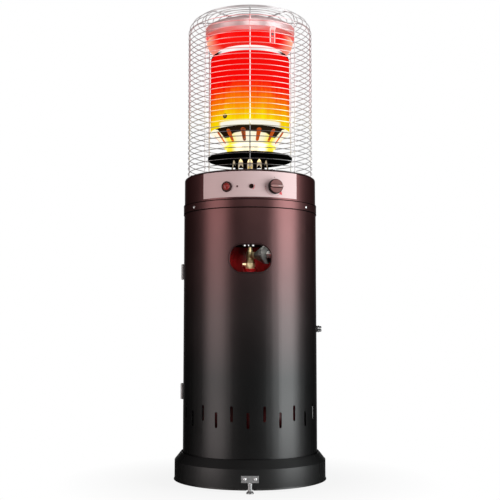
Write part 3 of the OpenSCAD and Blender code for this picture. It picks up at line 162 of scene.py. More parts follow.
class Nodes:
    """A node tree that is being built."""

    def __init__(self, tree):
        self.tree = tree

    def fill(self, socket, value):
        """Links a socket or sets its value; a colour is given without alpha."""
        if isinstance(value, bpy.types.NodeSocket):
            self.tree.links.new(value, socket)
        elif socket.type == "RGBA":
            socket.default_value = (*value[:3], 1.0)
        else:
            socket.default_value = value

    def put(self, kind, inputs=None, **settings):
        """Adds a node, sets its options, and fills its inputs."""
        node = self.tree.nodes.new(kind)
        for key, value in settings.items():
            setattr(node, key, value)
        for key, value in (inputs or {}).items():
            self.fill(node.inputs[key], value)
        return node

    def calc(self, operation, *values, clamp=False):
        """Result of a Math node."""
        node = self.put("ShaderNodeMath", dict(enumerate(values)), operation=operation, use_clamp=clamp)
        return node.outputs[0]

    def plus(self, first, second, clamp=False):
        """Sum of two values."""
        return self.calc("ADD", first, second, clamp=clamp)

    def minus(self, first, second):
        """Difference of two values."""
        return self.calc("SUBTRACT", first, second)

    def times(self, first, *others):
        """Product of values."""
        for other in others:
            first = self.calc("MULTIPLY", first, other)
        return first

    def over(self, first, second):
        """Quotient of two values."""
        return self.calc("DIVIDE", first, second)

    def squared(self, value):
        """Square of a value."""
        return self.calc("POWER", value, 2.0)

    def vector(self, **axes):
        """Vector made from its X, Y and Z."""
        return self.put("ShaderNodeCombineXYZ", axes).outputs["Vector"]

    def parts(self, vector):
        """X, Y and Z of a vector."""
        return self.put("ShaderNodeSeparateXYZ", {"Vector": vector}).outputs

    def bearing_of(self, spot):
        """Angle from the front of a point about the heater's axis."""
        return self.calc("ARCTAN2", spot["X"], self.times(spot["Y"], -1.0))

    def noise(self, vector, scale, **settings):
        """Value of a noise texture."""
        return self.put("ShaderNodeTexNoise", {"Vector": vector, "Scale": scale, **settings}).outputs["Fac"]

    def remap(self, value, start, end, to_start=0.0, to_end=1.0, **settings):
        """Value carried from one range to another."""
        ends = {"Value": value, "From Min": start, "From Max": end, "To Min": to_start, "To Max": to_end}
        return self.put("ShaderNodeMapRange", ends, **settings).outputs["Result"]

    def spread(self, mask, low, high):
        """A mask from 0 to 1 carried onto a range of values."""
        return self.remap(mask, 0.0, 1.0, low, high)

    def window(self, value, low, high):
        """A mask that rises smoothly from 0 to 1 between two values."""
        return self.remap(value, low, high, interpolation_type="SMOOTHSTEP")

    def mix(self, factor, first, second):
        """Mix of two colours."""
        return self.put("ShaderNodeMix", {0: factor, 6: first, 7: second}, data_type="RGBA").outputs[2]

    def ramp(self, factor, stops):
        """Colour ramp with the given positions and colours."""
        node = self.put("ShaderNodeValToRGB", {"Fac": factor})
        elements = node.color_ramp.elements
        while len(elements) < len(stops):
            elements.new(1.0)
        for element, (place, rgb) in zip(elements, stops):
            element.position = place
            element.color = (*rgb, 1.0)
        return node.outputs["Color"]


def spaced(sockets):
    """Socket names as Blender writes them, with spaces for underscores."""
    return {key.replace("_", " "): value for key, value in sockets.items()}


class Group(Nodes):
    """A node group that is being built; an input's default gives its kind, or its label if there is none."""

    NUMBERS = {float: "NodeSocketFloat", int: "NodeSocketInt"}
    RESULTS = {"VALUE": "NodeSocketFloat", "VECTOR": "NodeSocketVector", "GEOMETRY": "NodeSocketGeometry"}

    def __init__(self, name, inputs, kind="ShaderNodeTree"):
        super().__init__(bpy.data.node_groups.new(name, kind))
        for label, default in inputs.items():
            socket = self.NUMBERS.get(type(default), "NodeSocket" + label)
            item = self.tree.interface.new_socket(label, in_out="INPUT", socket_type=socket)
            if default is not None:
                item.default_value = default
        self.given = self.tree.nodes.new("NodeGroupInput").outputs

    def close(self, **results):
        """Gives the group its outputs."""
        named = spaced(results)
        for label, socket in named.items():
            self.tree.interface.new_socket(label, in_out="OUTPUT", socket_type=self.RESULTS[socket.type])
        end = self.tree.nodes.new("NodeGroupOutput")
        for label, socket in named.items():
            self.tree.links.new(socket, end.inputs[label])
        return self.tree


# Shader groups that several finishes share

@functools.cache
def grain_group():
    """Fine orange peel of a baked coat, with a slow mottle in it."""
    made = Group("Coat Grain", {"Vector": None, "Cell": 900.0})
    vector = made.given["Vector"]
    fine = made.noise(vector, made.given["Cell"], Detail=2.0, Roughness=0.5)
    return made.close(Height=fine, Mottle=made.noise(vector, 7.0, Detail=4.0))


@functools.cache
def unrolled_group():
    """Coordinates round the heater's axis, out from it and up, and how far a point is fore or aft."""
    made = Group("Unrolled", {"Vector": None})
    spot = made.parts(made.given["Vector"])
    out = made.calc("SQRT", made.plus(made.squared(spot["X"]), made.squared(spot["Y"])))
    unrolling_r = 0.2
    around = made.times(made.bearing_of(spot), unrolling_r)
    fore = made.over(made.calc("ABSOLUTE", spot["Y"]), made.calc("MAXIMUM", out, 0.001))
    unrolled = made.vector(X=around, Y=out, Z=spot["Z"])
    return made.close(Vector=unrolled, Out=out, Up=spot["Z"], Fore_and_Aft=fore)


@functools.cache
def brushed_group():
    """Long fine scratches along the first axis of the vector."""
    made = Group("Brushed Lines", {"Vector": None, "Along": 14.0, "Across": 1600.0})
    given = made.given
    scale = made.vector(X=given["Along"], Y=given["Across"], Z=given["Across"])
    stretched = made.put("ShaderNodeVectorMath", {0: given["Vector"], 1: scale}, operation="MULTIPLY")
    lines = made.noise(stretched.outputs["Vector"], 1.0, Detail=3.0, Roughness=0.6)
    wide = made.noise(stretched.outputs["Vector"], 0.14, Detail=2.0)
    return made.close(Streak=made.plus(made.times(lines, 0.6), made.times(wide, 0.4)), Height=lines)


@functools.cache
def handling_group():
    """Soft smudges and scattered dust as a mask from 0 to 1."""
    made = Group("Handling Marks", {"Vector": None, "Size": 24.0, "Amount": 0.5})
    smudge = made.noise(made.given["Vector"], made.given["Size"], Detail=5.0, Roughness=0.62, Distortion=0.4)
    return made.close(Mask=made.times(made.remap(smudge, 0.42, 0.78), made.given["Amount"]))


@functools.cache
def height_group():
    """How far up a point lies between two heights, with a slow waver."""
    made = Group("Height Share", {"Vector": None, "Low": 0.0, "High": 1.0, "Waver": 0.0, "Waver Scale": 20.0})
    given = made.given
    share = made.remap(made.parts(given["Vector"])["Z"], given["Low"], given["High"], clamp=False)
    drift = made.minus(made.noise(given["Vector"], given["Waver Scale"], Detail=2.0), 0.5)
    return made.close(Share=made.plus(share, made.times(drift, given["Waver"]), clamp=True))


# Finishes

class Finish(Nodes):
    """A material that is being built round its Principled shader."""

    def __init__(self, name, **sockets):
        self.material = bpy.data.materials.new(name)
        self.material.use_nodes = True
        super().__init__(self.material.node_tree)
        self.shader = self.tree.nodes["Principled BSDF"]
        self.feed(**sockets)
        self.place = self.put("ShaderNodeTexCoord").outputs["Object"]

    def feed(self, **sockets):
        """Sets or links sockets of the shader."""
        for label, value in spaced(sockets).items():
            self.fill(self.shader.inputs[label], value)

    def base(self):
        """What feeds the shader's base colour so far."""
        return self.shader.inputs["Base Color"].links[0].from_socket

    def effect(self, group, **inputs):
        """Outputs of a shared group, on object coordinates if no other vector is given."""
        return self.put("ShaderNodeGroup", {"Vector": self.place, **spaced(inputs)}, node_tree=group).outputs

    def around(self):
        """Outputs of the coordinates round the heater's axis."""
        return self.effect(unrolled_group())

    def marks(self, size, amount):
        """Mask of handling marks."""
        return self.effect(handling_group(), Size=size, Amount=amount)["Mask"]

    def height(self, low, high, waver=0.0, scale=20.0):
        """How far up a point lies between two heights."""
        return self.effect(height_group(), Low=low, High=high, Waver=waver, Waver_Scale=scale)["Share"]

    def roughen(self, height, strength, distance):
        """Feeds a height into the shader's normal."""
        bump = self.put("ShaderNodeBump", {"Height": height, "Strength": strength, "Distance": distance})
        self.feed(Normal=bump.outputs["Normal"])


def scaled(rgb, factor):
    """A colour made darker or paler."""
    return tuple(min(1.0, factor * c) for c in rgb)


def coat_finish(name, stops, foot, top, rough):
    """Satin powder coat that takes its colour stops between two heights; the redder upper stops are a painted
    red glow cast from the burner.
    """
    coat = Finish(name, Metallic=1.0, Specular_Tint=(0.25, 0.25, 0.25), Coat_Weight=0.08, Coat_Roughness=0.3)
    grain = coat.effect(grain_group(), Cell=780.0)
    marks = coat.times(coat.marks(size=9.0, amount=0.5), 0.06)
    # Colour by height: where the stops turn red, this is a painted glow cast from the burner.
    warm = coat.ramp(coat.height(foot, top, waver=0.05, scale=5.0), stops)
    satin = coat.spread(grain["Mottle"], rough - 0.04, rough + 0.04)
    coat.feed(Base_Color=coat.mix(marks, warm, (0.08, 0.075, 0.075)), Roughness=coat.plus(satin, marks))
    coat.roughen(grain["Height"], strength=0.08, distance=0.0004)
    return coat


def metal_finish(name, rgb, rough, along, across, depth=0.05, shade=0.18, rolled=False, bare=1.0, gloss=0.5):
    """Metal with brush lines and a few smudges; bare below 1 gives the milky look of a lacquer over it."""
    metal = Finish(name, Metallic=bare, Specular_IOR_Level=gloss)
    vector = metal.around()["Vector"] if rolled else metal.place
    lines = metal.effect(brushed_group(), Vector=vector, Along=along, Across=across)
    marks = metal.marks(size=22.0, amount=0.6)
    dark = scaled(rgb, 1.0 - shade)
    tone = metal.mix(lines["Streak"], dark, scaled(rgb, 1.0 + shade))
    brushed = metal.spread(lines["Streak"], rough * 0.75, rough * 1.25)
    metal.feed(Base_Color=metal.mix(metal.times(marks, 0.2), tone, dark),
               Roughness=metal.plus(brushed, metal.times(marks, 0.08)))
    metal.roughen(lines["Height"], strength=depth, distance=0.0002)
    return metal


def cast_finish(name, rgb, rough, **more):
    """Metal whose fine grain runs in no direction."""
    return metal_finish(name, rgb, rough, along=300.0, across=300.0, **more)


def cap_finish(rgb):
    """Polished cap with a painted glow on the lower part of its wall and a painted red reflection of the bowl
    at its sides.
    """
    cap = metal_finish("Polished Cap", rgb, rough=0.3, along=10.0, across=800.0, depth=0.03, shade=0.1,
                       rolled=True, bare=0.5)
    around = cap.around()
    side = cap.window(around["Fore and Aft"], 0.75, 0.25)
    wall_share = 0.7
    under = cap.window(around["Up"], CAP_LOW.z + wall_share * (CAP_HIGH.z - CAP_LOW.z), CAP_HIGH.z)
    # Painted glow as emission on the wall below 70 % of the cap's height, redder at the sides; none above
    # that.
    warm = cap.mix(side, (0.1, 0.045, 0.04), (0.3, 0.02, 0.015))
    # Painted red reflection of the bowl: the base colour turns red at the sides.
    cap.feed(Base_Color=cap.mix(side, cap.base(), (0.86, 0.4, 0.38)),
             Emission_Strength=1.0, Emission_Color=cap.mix(under, warm, BLACK))
    return cap


def valve_finish(rgb):
    """Brass of the cylinder valve: pale where its foot is machined, browner and streaked above."""
    brass = metal_finish("Valve Brass", scaled(rgb, 0.42), rough=0.34, along=900.0, across=60.0, shade=0.3,
                         bare=0.7)
    low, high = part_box("cylinder_valve")
    share = brass.height(low.z, high.z)
    pale = brass.mix(share, scaled(rgb, 1.1), (0.86, 0.8, 0.62))
    brass.feed(Base_Color=brass.mix(brass.window(share, 0.46, 0.42), brass.base(), pale))
    return brass


def plastic_finish(name, rgb, rough, cell=1400.0, depth=0.1, gloss=0.5):
    """Moulded plastic with a fine spark-eroded grain."""
    plastic = Finish(name, Specular_IOR_Level=gloss)
    grain = plastic.effect(grain_group(), Cell=cell)
    pale = tuple(min(1.0, c * 1.5 + 0.01) for c in rgb)
    worn = plastic.times(plastic.marks(size=40.0, amount=0.5), 0.4)
    plastic.feed(Base_Color=plastic.mix(worn, rgb, pale),
                 Roughness=plastic.spread(grain["Mottle"], rough - 0.06, rough + 0.06))
    plastic.roughen(grain["Height"], strength=depth, distance=0.0002)
    return plastic


def faced_finish(name, face, side, rough, out, depth):
    """Moulded plastic with a paler face: all that lies further out along a direction than a depth; the darker
    rest is painted shade.
    """
    plastic = plastic_finish(name, face, rough, gloss=0.1)
    reach = plastic.put("ShaderNodeVectorMath", {0: plastic.place, 1: tuple(out)}, operation="DOT_PRODUCT")
    edge = 0.0008
    front = plastic.window(reach.outputs["Value"], depth - edge, depth)
    # All that is not the face takes the side colour, a painted shade.
    plastic.feed(Base_Color=plastic.mix(front, side, plastic.base()))
    return plastic


def enamel_finish(rgb):
    """Glossy enamel with a thin clear coat, darker towards the cylinder's foot as painted shade inside the
    cabinet, and with handling marks.
    """
    enamel = Finish("Cylinder Enamel", Coat_Weight=0.6, Coat_Roughness=0.08)
    grain = enamel.effect(grain_group(), Cell=260.0)
    marks = enamel.marks(size=16.0, amount=0.8)
    dirt_and_shade = scaled(rgb, 0.3)
    # Darker below half a metre: painted shade inside the cabinet round the cylinder.
    tone = enamel.mix(enamel.height(low=0.1, high=0.5, waver=0.1, scale=8.0), dirt_and_shade, rgb)
    enamel.feed(Base_Color=enamel.mix(enamel.times(marks, 0.3), tone, dirt_and_shade),
                Roughness=enamel.spread(marks, 0.28, 0.43))
    enamel.roughen(grain["Height"], strength=0.04, distance=0.0004)
    return enamel


def black_finish(name, rgb, rough, inside=None):
    """Heat-proof black enamel; inside gives a radius within which its walls are lit by the flame."""
    black = Finish(name, Specular_IOR_Level=0.0)
    grain = black.effect(grain_group(), Cell=500.0)
    worn = black.times(black.marks(size=30.0, amount=0.5), 0.3)
    black.feed(Base_Color=black.mix(worn, rgb, (0.03, 0.026, 0.024)),
               Roughness=black.spread(grain["Mottle"], rough - 0.05, rough + 0.05))
    black.roughen(grain["Height"], strength=0.08, distance=0.0003)
    if inside:
        inner = black.calc("LESS_THAN", black.around()["Out"], inside)
        warm = black.mix(grain["Mottle"], (0.5, 0.36, 0.2), (0.86, 0.74, 0.55))
        black.feed(Emission_Strength=0.8, Emission_Color=black.mix(inner, BLACK, warm))
    return black


def wire_finish(name, rgb, bare, top, edge):
    """Bright wire of the guard, with a painted glow at its outer edge, painted shade below the drum and a
    painted highlight on top.
    """
    wire = metal_finish(name, rgb, rough=0.3, along=40.0, across=900.0, depth=0.03, shade=0.1, rolled=True,
                        bare=bare)
    around = wire.around()
    up = around["Up"]
    fore = wire.window(around["Fore and Aft"], 0.74, 0.84)
    fade = 0.02
    low, high = DRUM_LOW.z - fade, DRUM_HIGH.z - fade
    # Painted shade: the wire's colour darkened fore and aft below the drum.
    shaded = wire.times(fore, wire.window(up, low + fade, low))
    glow = wire.ramp(wire.height(low, high), [
        (0.0, (0.7, 0.6, 0.0)), (0.2, (0.7, 0.45, 0.0)), (0.44, (0.66, 0.13, 0.0)), (0.65, (0.64, 0.0, 0.0)),
        (1.0, (0.64, 0.0, 0.0))])
    outer = wire.window(around["Out"], edge - 0.001, edge - 0.0003)
    # Painted glow from the drum on the wire's outer edge, fore and aft.
    lit = wire.times(wire.spread(fore, 0.15, 1.0), outer, wire.window(up, low, low + fade))
    # Painted highlight on top of the guard.
    crown = wire.window(up, RINGS_HIGH.z - 0.05, RINGS_HIGH.z - 0.02)
    shine = wire.mix(crown, wire.mix(lit, BLACK, glow), (top, 0.95 * top, 0.95 * top))
    wire.feed(Base_Color=wire.mix(wire.times(shaded, 0.8), wire.base(), (0.02, 0.02, 0.02)),
              Emission_Strength=1.0, Emission_Color=shine)
    return wire


def drum_finish(name, tone, strength):
    """Emitter screen: a painted white highlight at its foot fore and aft, then a glow of yellow, orange and
    red further up.
    """
    drum = Finish(name, Base_Color=(0.012, 0.004, 0.002), Roughness=0.7, Specular_IOR_Level=0.05,
                  Emission_Strength=strength)
    waver = drum.height(DRUM_LOW.z, DRUM_HIGH.z, waver=0.16, scale=26.0)
    level = drum.height(DRUM_LOW.z, DRUM_HIGH.z)
    around = drum.around()
    fore = around["Fore and Aft"]
    cool = drum.times(drum.minus(1.0, drum.window(fore, 0.55, 1.0)), 0.06)
    flames = drum.effect(brushed_group(), Vector=around["Vector"], Along=60.0, Across=9.0)["Streak"]
    share = drum.plus(drum.plus(waver, cool), drum.spread(flames, 0.25, -0.15), clamp=True)
    glow = drum.ramp(share, [
        (0.0, (1.0, 0.9, 0.02)), (0.1, (1.0, 0.82, 0.0)), (0.2, tone.glow_yellow), (0.32, (1.0, 0.36, 0.0)),
        (0.44, tone.glow_orange), (0.56, (1.0, 0.045, 0.0)), (0.68, tone.glow_red), (1.0, (0.96, 0.0, 0.0))])
    # Painted white highlight along the drum's foot, fore and aft only.
    white = drum.times(drum.window(fore, 0.62, 0.72), drum.window(level, 0.085, 0.06))
    sheet = 0.0006
    inside = drum.calc("LESS_THAN", around["Out"], DRUM_HIGH.x - sheet)
    ember = drum.mix(level, (0.5, 0.09, 0.012), (0.25, 0.01, 0.003))
    drum.feed(Emission_Color=drum.mix(inside, drum.mix(white, glow, tone.glow_white), ember))
    return drum


def cone_finish(size):
    """Polished cone: a painted glow from the flame, cream to yellow, with painted highlights at its sides and
    a painted dark reflection as a crescent on top; orange inside its slots.
    """
    cone = Finish("Cone Steel", Base_Color=(0.02, 0.012, 0.006), Roughness=0.4, Specular_IOR_Level=0.0,
                  Emission_Strength=1.0)
    share = cone.height(CONE_LOW.z, CONE_HIGH.z, waver=0.06, scale=20.0)
    around = cone.around()
    fore = around["Fore and Aft"]
    # Painted glow by bearing: cream highlights at the sides and fore and aft, yellow between.
    side = cone.ramp(fore, [
        (0.0, (1.0, 0.96, 0.8)), (0.5, (1.0, 0.95, 0.72)), (0.68, (1.0, 0.86, 0.02)),
        (0.82, (1.0, 0.88, 0.2)), (0.9, (1.0, 0.92, 0.62)), (1.0, (1.0, 0.95, 0.74))])
    # Painted dark reflection: the crescent's lower edge as a share of the height, by bearing.
    crescent = ((0.0, 1.1), (0.5, 1.1), (0.6, 0.42), (0.74, 0.4), (0.88, 0.62), (1.0, 0.68))
    edge = cone.ramp(fore, [(place, (share_up,) * 3) for place, share_up in crescent])
    dark = cone.window(cone.minus(share, edge), -0.03, 0.03)
    skin = 0.0005
    wall = cone.spread(cone.height(CONE_LOW.z, CONE_HIGH.z), size.cone_foot - skin, size.cone_top - skin)
    inner = cone.calc("LESS_THAN", around["Out"], wall)
    ember = cone.ramp(share, [
        (0.0, (0.5, 0.012, 0.004)), (0.4, (0.75, 0.05, 0.008)), (0.75, (0.95, 0.17, 0.01)),
        (1.0, (1.0, 0.3, 0.02))])
    cone.feed(Emission_Color=cone.mix(inner, cone.mix(dark, side, (0.004, 0.002, 0.001)), ember))
    return cone


def neck_finish():
    """Burner neck with a painted glow of the flame's light, yellow at its sides and cream fore and aft."""
    neck = Finish("Neck Steel", Metallic=1.0, Emission_Strength=0.95)
    share = neck.height(NECK_LOW.z, NECK_HIGH.z, waver=0.2, scale=18.0)
    marks = neck.marks(size=30.0, amount=0.8)
    fore = neck.window(neck.around()["Fore and Aft"], 0.6, 0.85)
    # Painted glow: cream fore and aft, yellow at the sides.
    cream = neck.ramp(share, [(0.0, (1.0, 0.84, 0.4)), (0.35, (1.0, 0.93, 0.7)), (1.0, (1.0, 0.96, 0.8))])
    yellow = neck.mix(share, (1.0, 0.74, 0.02), (1.0, 0.86, 0.04))
    neck.feed(Base_Color=neck.mix(marks, (0.5, 0.36, 0.14), (0.3, 0.18, 0.06)),
              Roughness=neck.spread(marks, 0.25, 0.45), Emission_Color=neck.mix(fore, yellow, cream))
    return neck


def bowl_finish():
    """Bowl with painted red light from the emitter, a painted cream sheen towards its sides and a painted
    white glow on the flat underneath.
    """
    bowl = Finish("Bowl Steel", Roughness=0.3, Specular_IOR_Level=0.05, Emission_Strength=1.0)
    around = bowl.around()
    flat_top, wall_foot = BOWL_LOW.z + 0.0092, BOWL_LOW.z + 0.0095
    flat = bowl.calc("LESS_THAN", around["Up"], flat_top)
    share = bowl.height(wall_foot, BOWL_HIGH.z, waver=0.1, scale=12.0)
    red = bowl.ramp(share, [(0.0, (0.8, 0.01, 0.004)), (0.3, (0.98, 0.004, 0.002)), (1.0, (0.95, 0.0, 0.0))])
    rim = bowl.ramp(share, [(0.0, (0.9, 0.22, 0.16)), (0.5, (0.9, 0.32, 0.2)), (1.0, (0.95, 0.5, 0.32))])
    # Painted sheen: cream towards the sides, red fore and aft; the flat underneath gets a painted white glow.
    lit = bowl.mix(bowl.window(around["Fore and Aft"], 0.72, 0.3), red, rim)
    marks = bowl.marks(size=26.0, amount=0.7)
    bowl.feed(Base_Color=bowl.mix(marks, (0.03, 0.003, 0.002), (0.015, 0.001, 0.001)),
              Emission_Color=bowl.mix(flat, lit, (1.0, 0.95, 0.92)))
    return bowl


def cover_finish():
    """Cover over the drum: a painted bright reflection fore and aft and a painted dark reflection at its
    sides.
    """
    steel = Finish("Cover Steel", Roughness=0.3, Specular_IOR_Level=0.0, Emission_Strength=1.0)
    mottle = steel.effect(grain_group(), Cell=500.0)["Mottle"]
    # Painted reflection by bearing, as emission.
    shine = steel.ramp(steel.around()["Fore and Aft"], [
        (0.0, (0.002, 0.002, 0.002)), (0.6, (0.004, 0.003, 0.003)), (0.72, (0.9, 0.82, 0.8)),
        (0.9, (1.0, 0.96, 0.95)), (1.0, (0.8, 0.74, 0.74))])
    steel.feed(Base_Color=steel.mix(mottle, (0.004, 0.003, 0.003), (0.012, 0.01, 0.01)), Emission_Color=shine)
    return steel


def strap_finish(width, first):
    """Straps of the cap with a painted red glow from the bowl behind them and painted highlights along both
    edges and above the bowl.
    """
    strap = Finish("Strap Steel", Roughness=0.25, Emission_Strength=0.9)
    around = strap.around()
    turn = strap.bearing_of(strap.parts(strap.place))
    step = strap.minus(strap.over(turn, STRAP_STEP), first / STRAP_STEP)
    off = strap.times(strap.minus(step, strap.calc("ROUND", step)), STRAP_STEP)
    across = strap.calc("ABSOLUTE", strap.times(strap.calc("SINE", off), around["Out"]))
    # Painted highlights: along both edges of each strap and where it rises above the bowl.
    edge = strap.window(across, width / 2 - 0.0028, width / 2 - 0.0016)
    high = strap.window(around["Up"], BOWL_HIGH.z - 0.002, BOWL_HIGH.z + 0.012)
    bright = strap.calc("MAXIMUM", edge, high)
    marks = strap.marks(size=60.0, amount=0.6)
    strap.feed(Base_Color=strap.mix(marks, (0.3, 0.05, 0.045), (0.16, 0.02, 0.018)),
               Emission_Color=strap.mix(bright, (0.85, 0.004, 0.003), (0.95, 0.82, 0.8)))
    return strap


def cover(finish, *names):
    """Gives a finish to solids."""
    for name in names:
        mesh = NODES[name].data
        mesh.materials.clear()
        mesh.materials.append(finish.material)


# Pieces made by rules

class Rule(Group):
    """A geometry tree that is being built, with named inputs for its sizes."""

    def __init__(self, name, **sizes):
        super().__init__(name, {"Geometry": None, **spaced(sizes), "Material": None}, "GeometryNodeTree")

    def circle(self, corners, radius):
        """Closed round curve."""
        return self.put("GeometryNodeCurvePrimitiveCircle",
                        {"Resolution": corners, "Radius": radius}).outputs["Curve"]

    def mesh(self, shape, **sizes):
        """Mesh of a primitive shape."""
        return self.put("GeometryNodeMesh" + shape, sizes).outputs["Mesh"]

    def tube(self, curve, section):
        """Mesh of a section carried along a curve."""
        return self.put("GeometryNodeCurveToMesh", {"Curve": curve, "Profile Curve": section}).outputs["Mesh"]

    def moved(self, geometry, way):
        """Geometry moved by a vector."""
        return self.put("GeometryNodeTransform",
                        {"Geometry": geometry, "Translation": way}).outputs["Geometry"]

    def joined(self, *parts):
        """Several geometries as one."""
        node = self.put("GeometryNodeJoinGeometry")
        for part in parts:
            self.tree.links.new(part, node.inputs[0])
        return node.outputs["Geometry"]

    def on_points(self, points, piece, **more):
        """A piece on every point."""
        return self.put("GeometryNodeInstanceOnPoints",
                        {"Points": points, "Instance": piece, **more}).outputs["Instances"]

    def finished(self, geometry):
        """Realizes the instances, sets the material and closes the tree."""
        real = self.put("GeometryNodeRealizeInstances", {"Geometry": geometry}).outputs["Geometry"]
        done = self.put("GeometryNodeSetMaterial", {"Geometry": real, "Material": self.given["Material"]})
        return self.close(Geometry=done.outputs["Geometry"])


def screen_tree():
    """Woven screen: rings at a pitch up the drum and straight wires round it."""
    rule = Rule("Emitter Screen", Radius=0.1185, Foot=1.0, Height=0.2, Pitch=0.0034, Wire=0.0007)
    size = rule.given
    half = rule.times(size["Wire"], 0.5)
    section = rule.circle(4, half)
    foot = rule.vector(Z=size["Foot"])
    count = rule.calc("FLOOR", rule.over(size["Height"], size["Pitch"]))
    step = rule.vector(Z=size["Pitch"])
    stack = rule.put("GeometryNodeMeshLine", {"Count": count, "Start Location": foot, "Offset": step},
                     mode="OFFSET")
    rings = rule.on_points(stack.outputs["Mesh"], rule.tube(rule.circle(120, size["Radius"]), section))
    outer = rule.plus(size["Radius"], half)
    count = rule.calc("FLOOR", rule.over(rule.times(outer, FULL_TURN), size["Pitch"]))
    posts = rule.mesh("Circle", Vertices=count, Radius=outer)
    line = rule.put("GeometryNodeCurvePrimitiveLine", {"End": rule.vector(Z=size["Height"])})
    rod = rule.tube(line.outputs["Curve"], section)
    rods = rule.on_points(rule.moved(posts, foot), rod)
    return rule.finished(rule.joined(rings, rods))


def weld_tree():
    """A bead at each crossing of ring and upright: up the side, round the shoulder, in over the top."""
    rule = Rule("Guard Welds", Side_Radius=0.185, Bend=0.044, Inset=0.0013, Foot=0.88, Top=1.37, Pitch=0.0159,
                Rings=38, Uprights=8, Bead=0.0034)
    size = rule.given
    index = rule.put("GeometryNodeInputIndex").outputs["Index"]
    run = rule.times(index, size["Pitch"])
    side = rule.minus(rule.minus(size["Top"], size["Bend"]), size["Foot"])
    past_side = rule.calc("MAXIMUM", rule.minus(run, side), 0.0)
    turn = rule.calc("MINIMUM", rule.over(past_side, size["Bend"]), math.pi / 2)
    inward = rule.calc("MAXIMUM", rule.minus(past_side, rule.times(size["Bend"], math.pi / 2)), 0.0)
    inner = rule.minus(size["Bend"], size["Inset"])
    middle = rule.minus(size["Side Radius"], size["Bend"])
    out = rule.minus(rule.plus(middle, rule.times(inner, rule.calc("COSINE", turn))), inward)
    straight = rule.plus(size["Foot"], rule.calc("MINIMUM", run, side))
    up = rule.plus(straight, rule.times(inner, rule.calc("SINE", turn)))
    place = rule.vector(Y=rule.times(out, -1.0), Z=up)
    row = rule.put("GeometryNodePoints", {"Count": size["Rings"], "Position": place})
    bead = rule.mesh("IcoSphere", Radius=rule.times(size["Bead"], 0.5), Subdivisions=2)
    beads = rule.on_points(row.outputs["Points"], bead)
    hub = rule.put("GeometryNodePoints", {"Count": size["Uprights"]})
    spin = rule.vector(Z=rule.times(rule.over(index, size["Uprights"]), FULL_TURN))
    turned = rule.put("FunctionNodeEulerToRotation", {"Euler": spin}).outputs["Rotation"]
    return rule.finished(rule.on_points(hub.outputs["Points"], beads, Rotation=turned))


def screw_tree():
    """Domed screw with a cross recess on every point, turned to the point's own outward direction."""
    rule = Rule("Cross Screws", Dome=0.32, Recess=0.13)
    size = rule.given
    head_r, arm_l, arm_deep, arm_lift = 0.5, 0.56, 0.4, 0.04
    ball_r = rule.over(rule.plus(rule.squared(size["Dome"]), head_r ** 2), rule.times(size["Dome"], 2.0))
    ball = rule.mesh("UVSphere", Segments=24, Rings=20, Radius=ball_r)
    sunk = rule.moved(ball, rule.vector(Z=rule.minus(size["Dome"], ball_r)))
    upper_half = rule.moved(rule.mesh("Cube", Size=(2.0, 2.0, 1.0)), (0.0, 0.0, 0.5))
    dome = rule.put("GeometryNodeMeshBoolean", operation="INTERSECT")
    for part in (sunk, upper_half):
        rule.tree.links.new(part, dome.inputs["Mesh 2"])
    lift = rule.vector(Z=rule.plus(size["Dome"], arm_lift))
    arms = []
    for across, along in ((arm_l, size["Recess"]), (size["Recess"], arm_l)):
        arm = rule.mesh("Cube", Size=rule.vector(X=across, Y=along, Z=arm_deep))
        arms.append(rule.moved(arm, lift))
    cut = rule.put("GeometryNodeMeshBoolean", {"Mesh 1": dome.outputs["Mesh"], "Mesh 2": rule.joined(*arms)},
                   operation="DIFFERENCE")
    shank_r, shank_l, shank_z = 0.22, 0.8, -0.38
    shank = rule.mesh("Cylinder", Vertices=12, Radius=shank_r, Depth=shank_l)
    screw = rule.joined(cut.outputs["Mesh"], rule.moved(shank, (0.0, 0.0, shank_z)))
    outward, head = (
        rule.put("GeometryNodeInputNamedAttribute", {"Name": name}, data_type=kind).outputs["Attribute"]
        for name, kind in (("outward", "FLOAT_VECTOR"), ("head", "FLOAT")))
    turned = rule.put("FunctionNodeAlignRotationToVector", {"Vector": outward}, axis="Z").outputs["Rotation"]
    points = rule.put("GeometryNodeMeshToPoints", {"Mesh": size["Geometry"]}).outputs["Points"]
    return rule.finished(rule.on_points(points, screw, Rotation=turned, Scale=head))


def edging_tree():
    """Rolled edge that follows the hand window's outline on the cabinet's round wall."""
    rule = Rule("Window Edging", Width=0.118, Height=0.08, Corner=0.035, Middle_X=0.0, Middle_Z=0.63,
                Wall_Radius=0.196, Bead=0.0026)
    size = rule.given
    outline = rule.put("GeometryNodeCurvePrimitiveQuadrilateral",
                       {"Width": size["Width"], "Height": size["Height"]})
    rounded = rule.put("GeometryNodeFilletCurve", {"Curve": outline.outputs["Curve"], "Count": 14,
                                                   "Radius": size["Corner"]}, mode="POLY")
    even = rule.put("GeometryNodeResampleCurve", {"Curve": rounded.outputs["Curve"], "Count": 160})
    spot = rule.parts(rule.put("GeometryNodeInputPosition").outputs["Position"])
    across = rule.plus(spot["X"], size["Middle X"])
    depth = rule.calc("SQRT", rule.minus(rule.squared(size["Wall Radius"]), rule.squared(across)))
    place = rule.vector(X=across, Y=rule.times(depth, -1.0), Z=rule.plus(spot["Y"], size["Middle Z"]))
    wrapped = rule.put("GeometryNodeSetPosition", {"Geometry": even.outputs["Curve"], "Position": place})
    bead = rule.tube(wrapped.outputs["Geometry"], rule.circle(10, rule.times(size["Bead"], 0.5)))
    smooth = rule.put("GeometryNodeSetShadeSmooth", {"Geometry": bead})
    return rule.finished(smooth.outputs["Geometry"])


# Making and placing pieces

def add_object(name, data):
    """Object in the scene's own collection."""
    item = bpy.data.objects.new(name, data)
    bpy.context.scene.collection.objects.link(item)
    return item


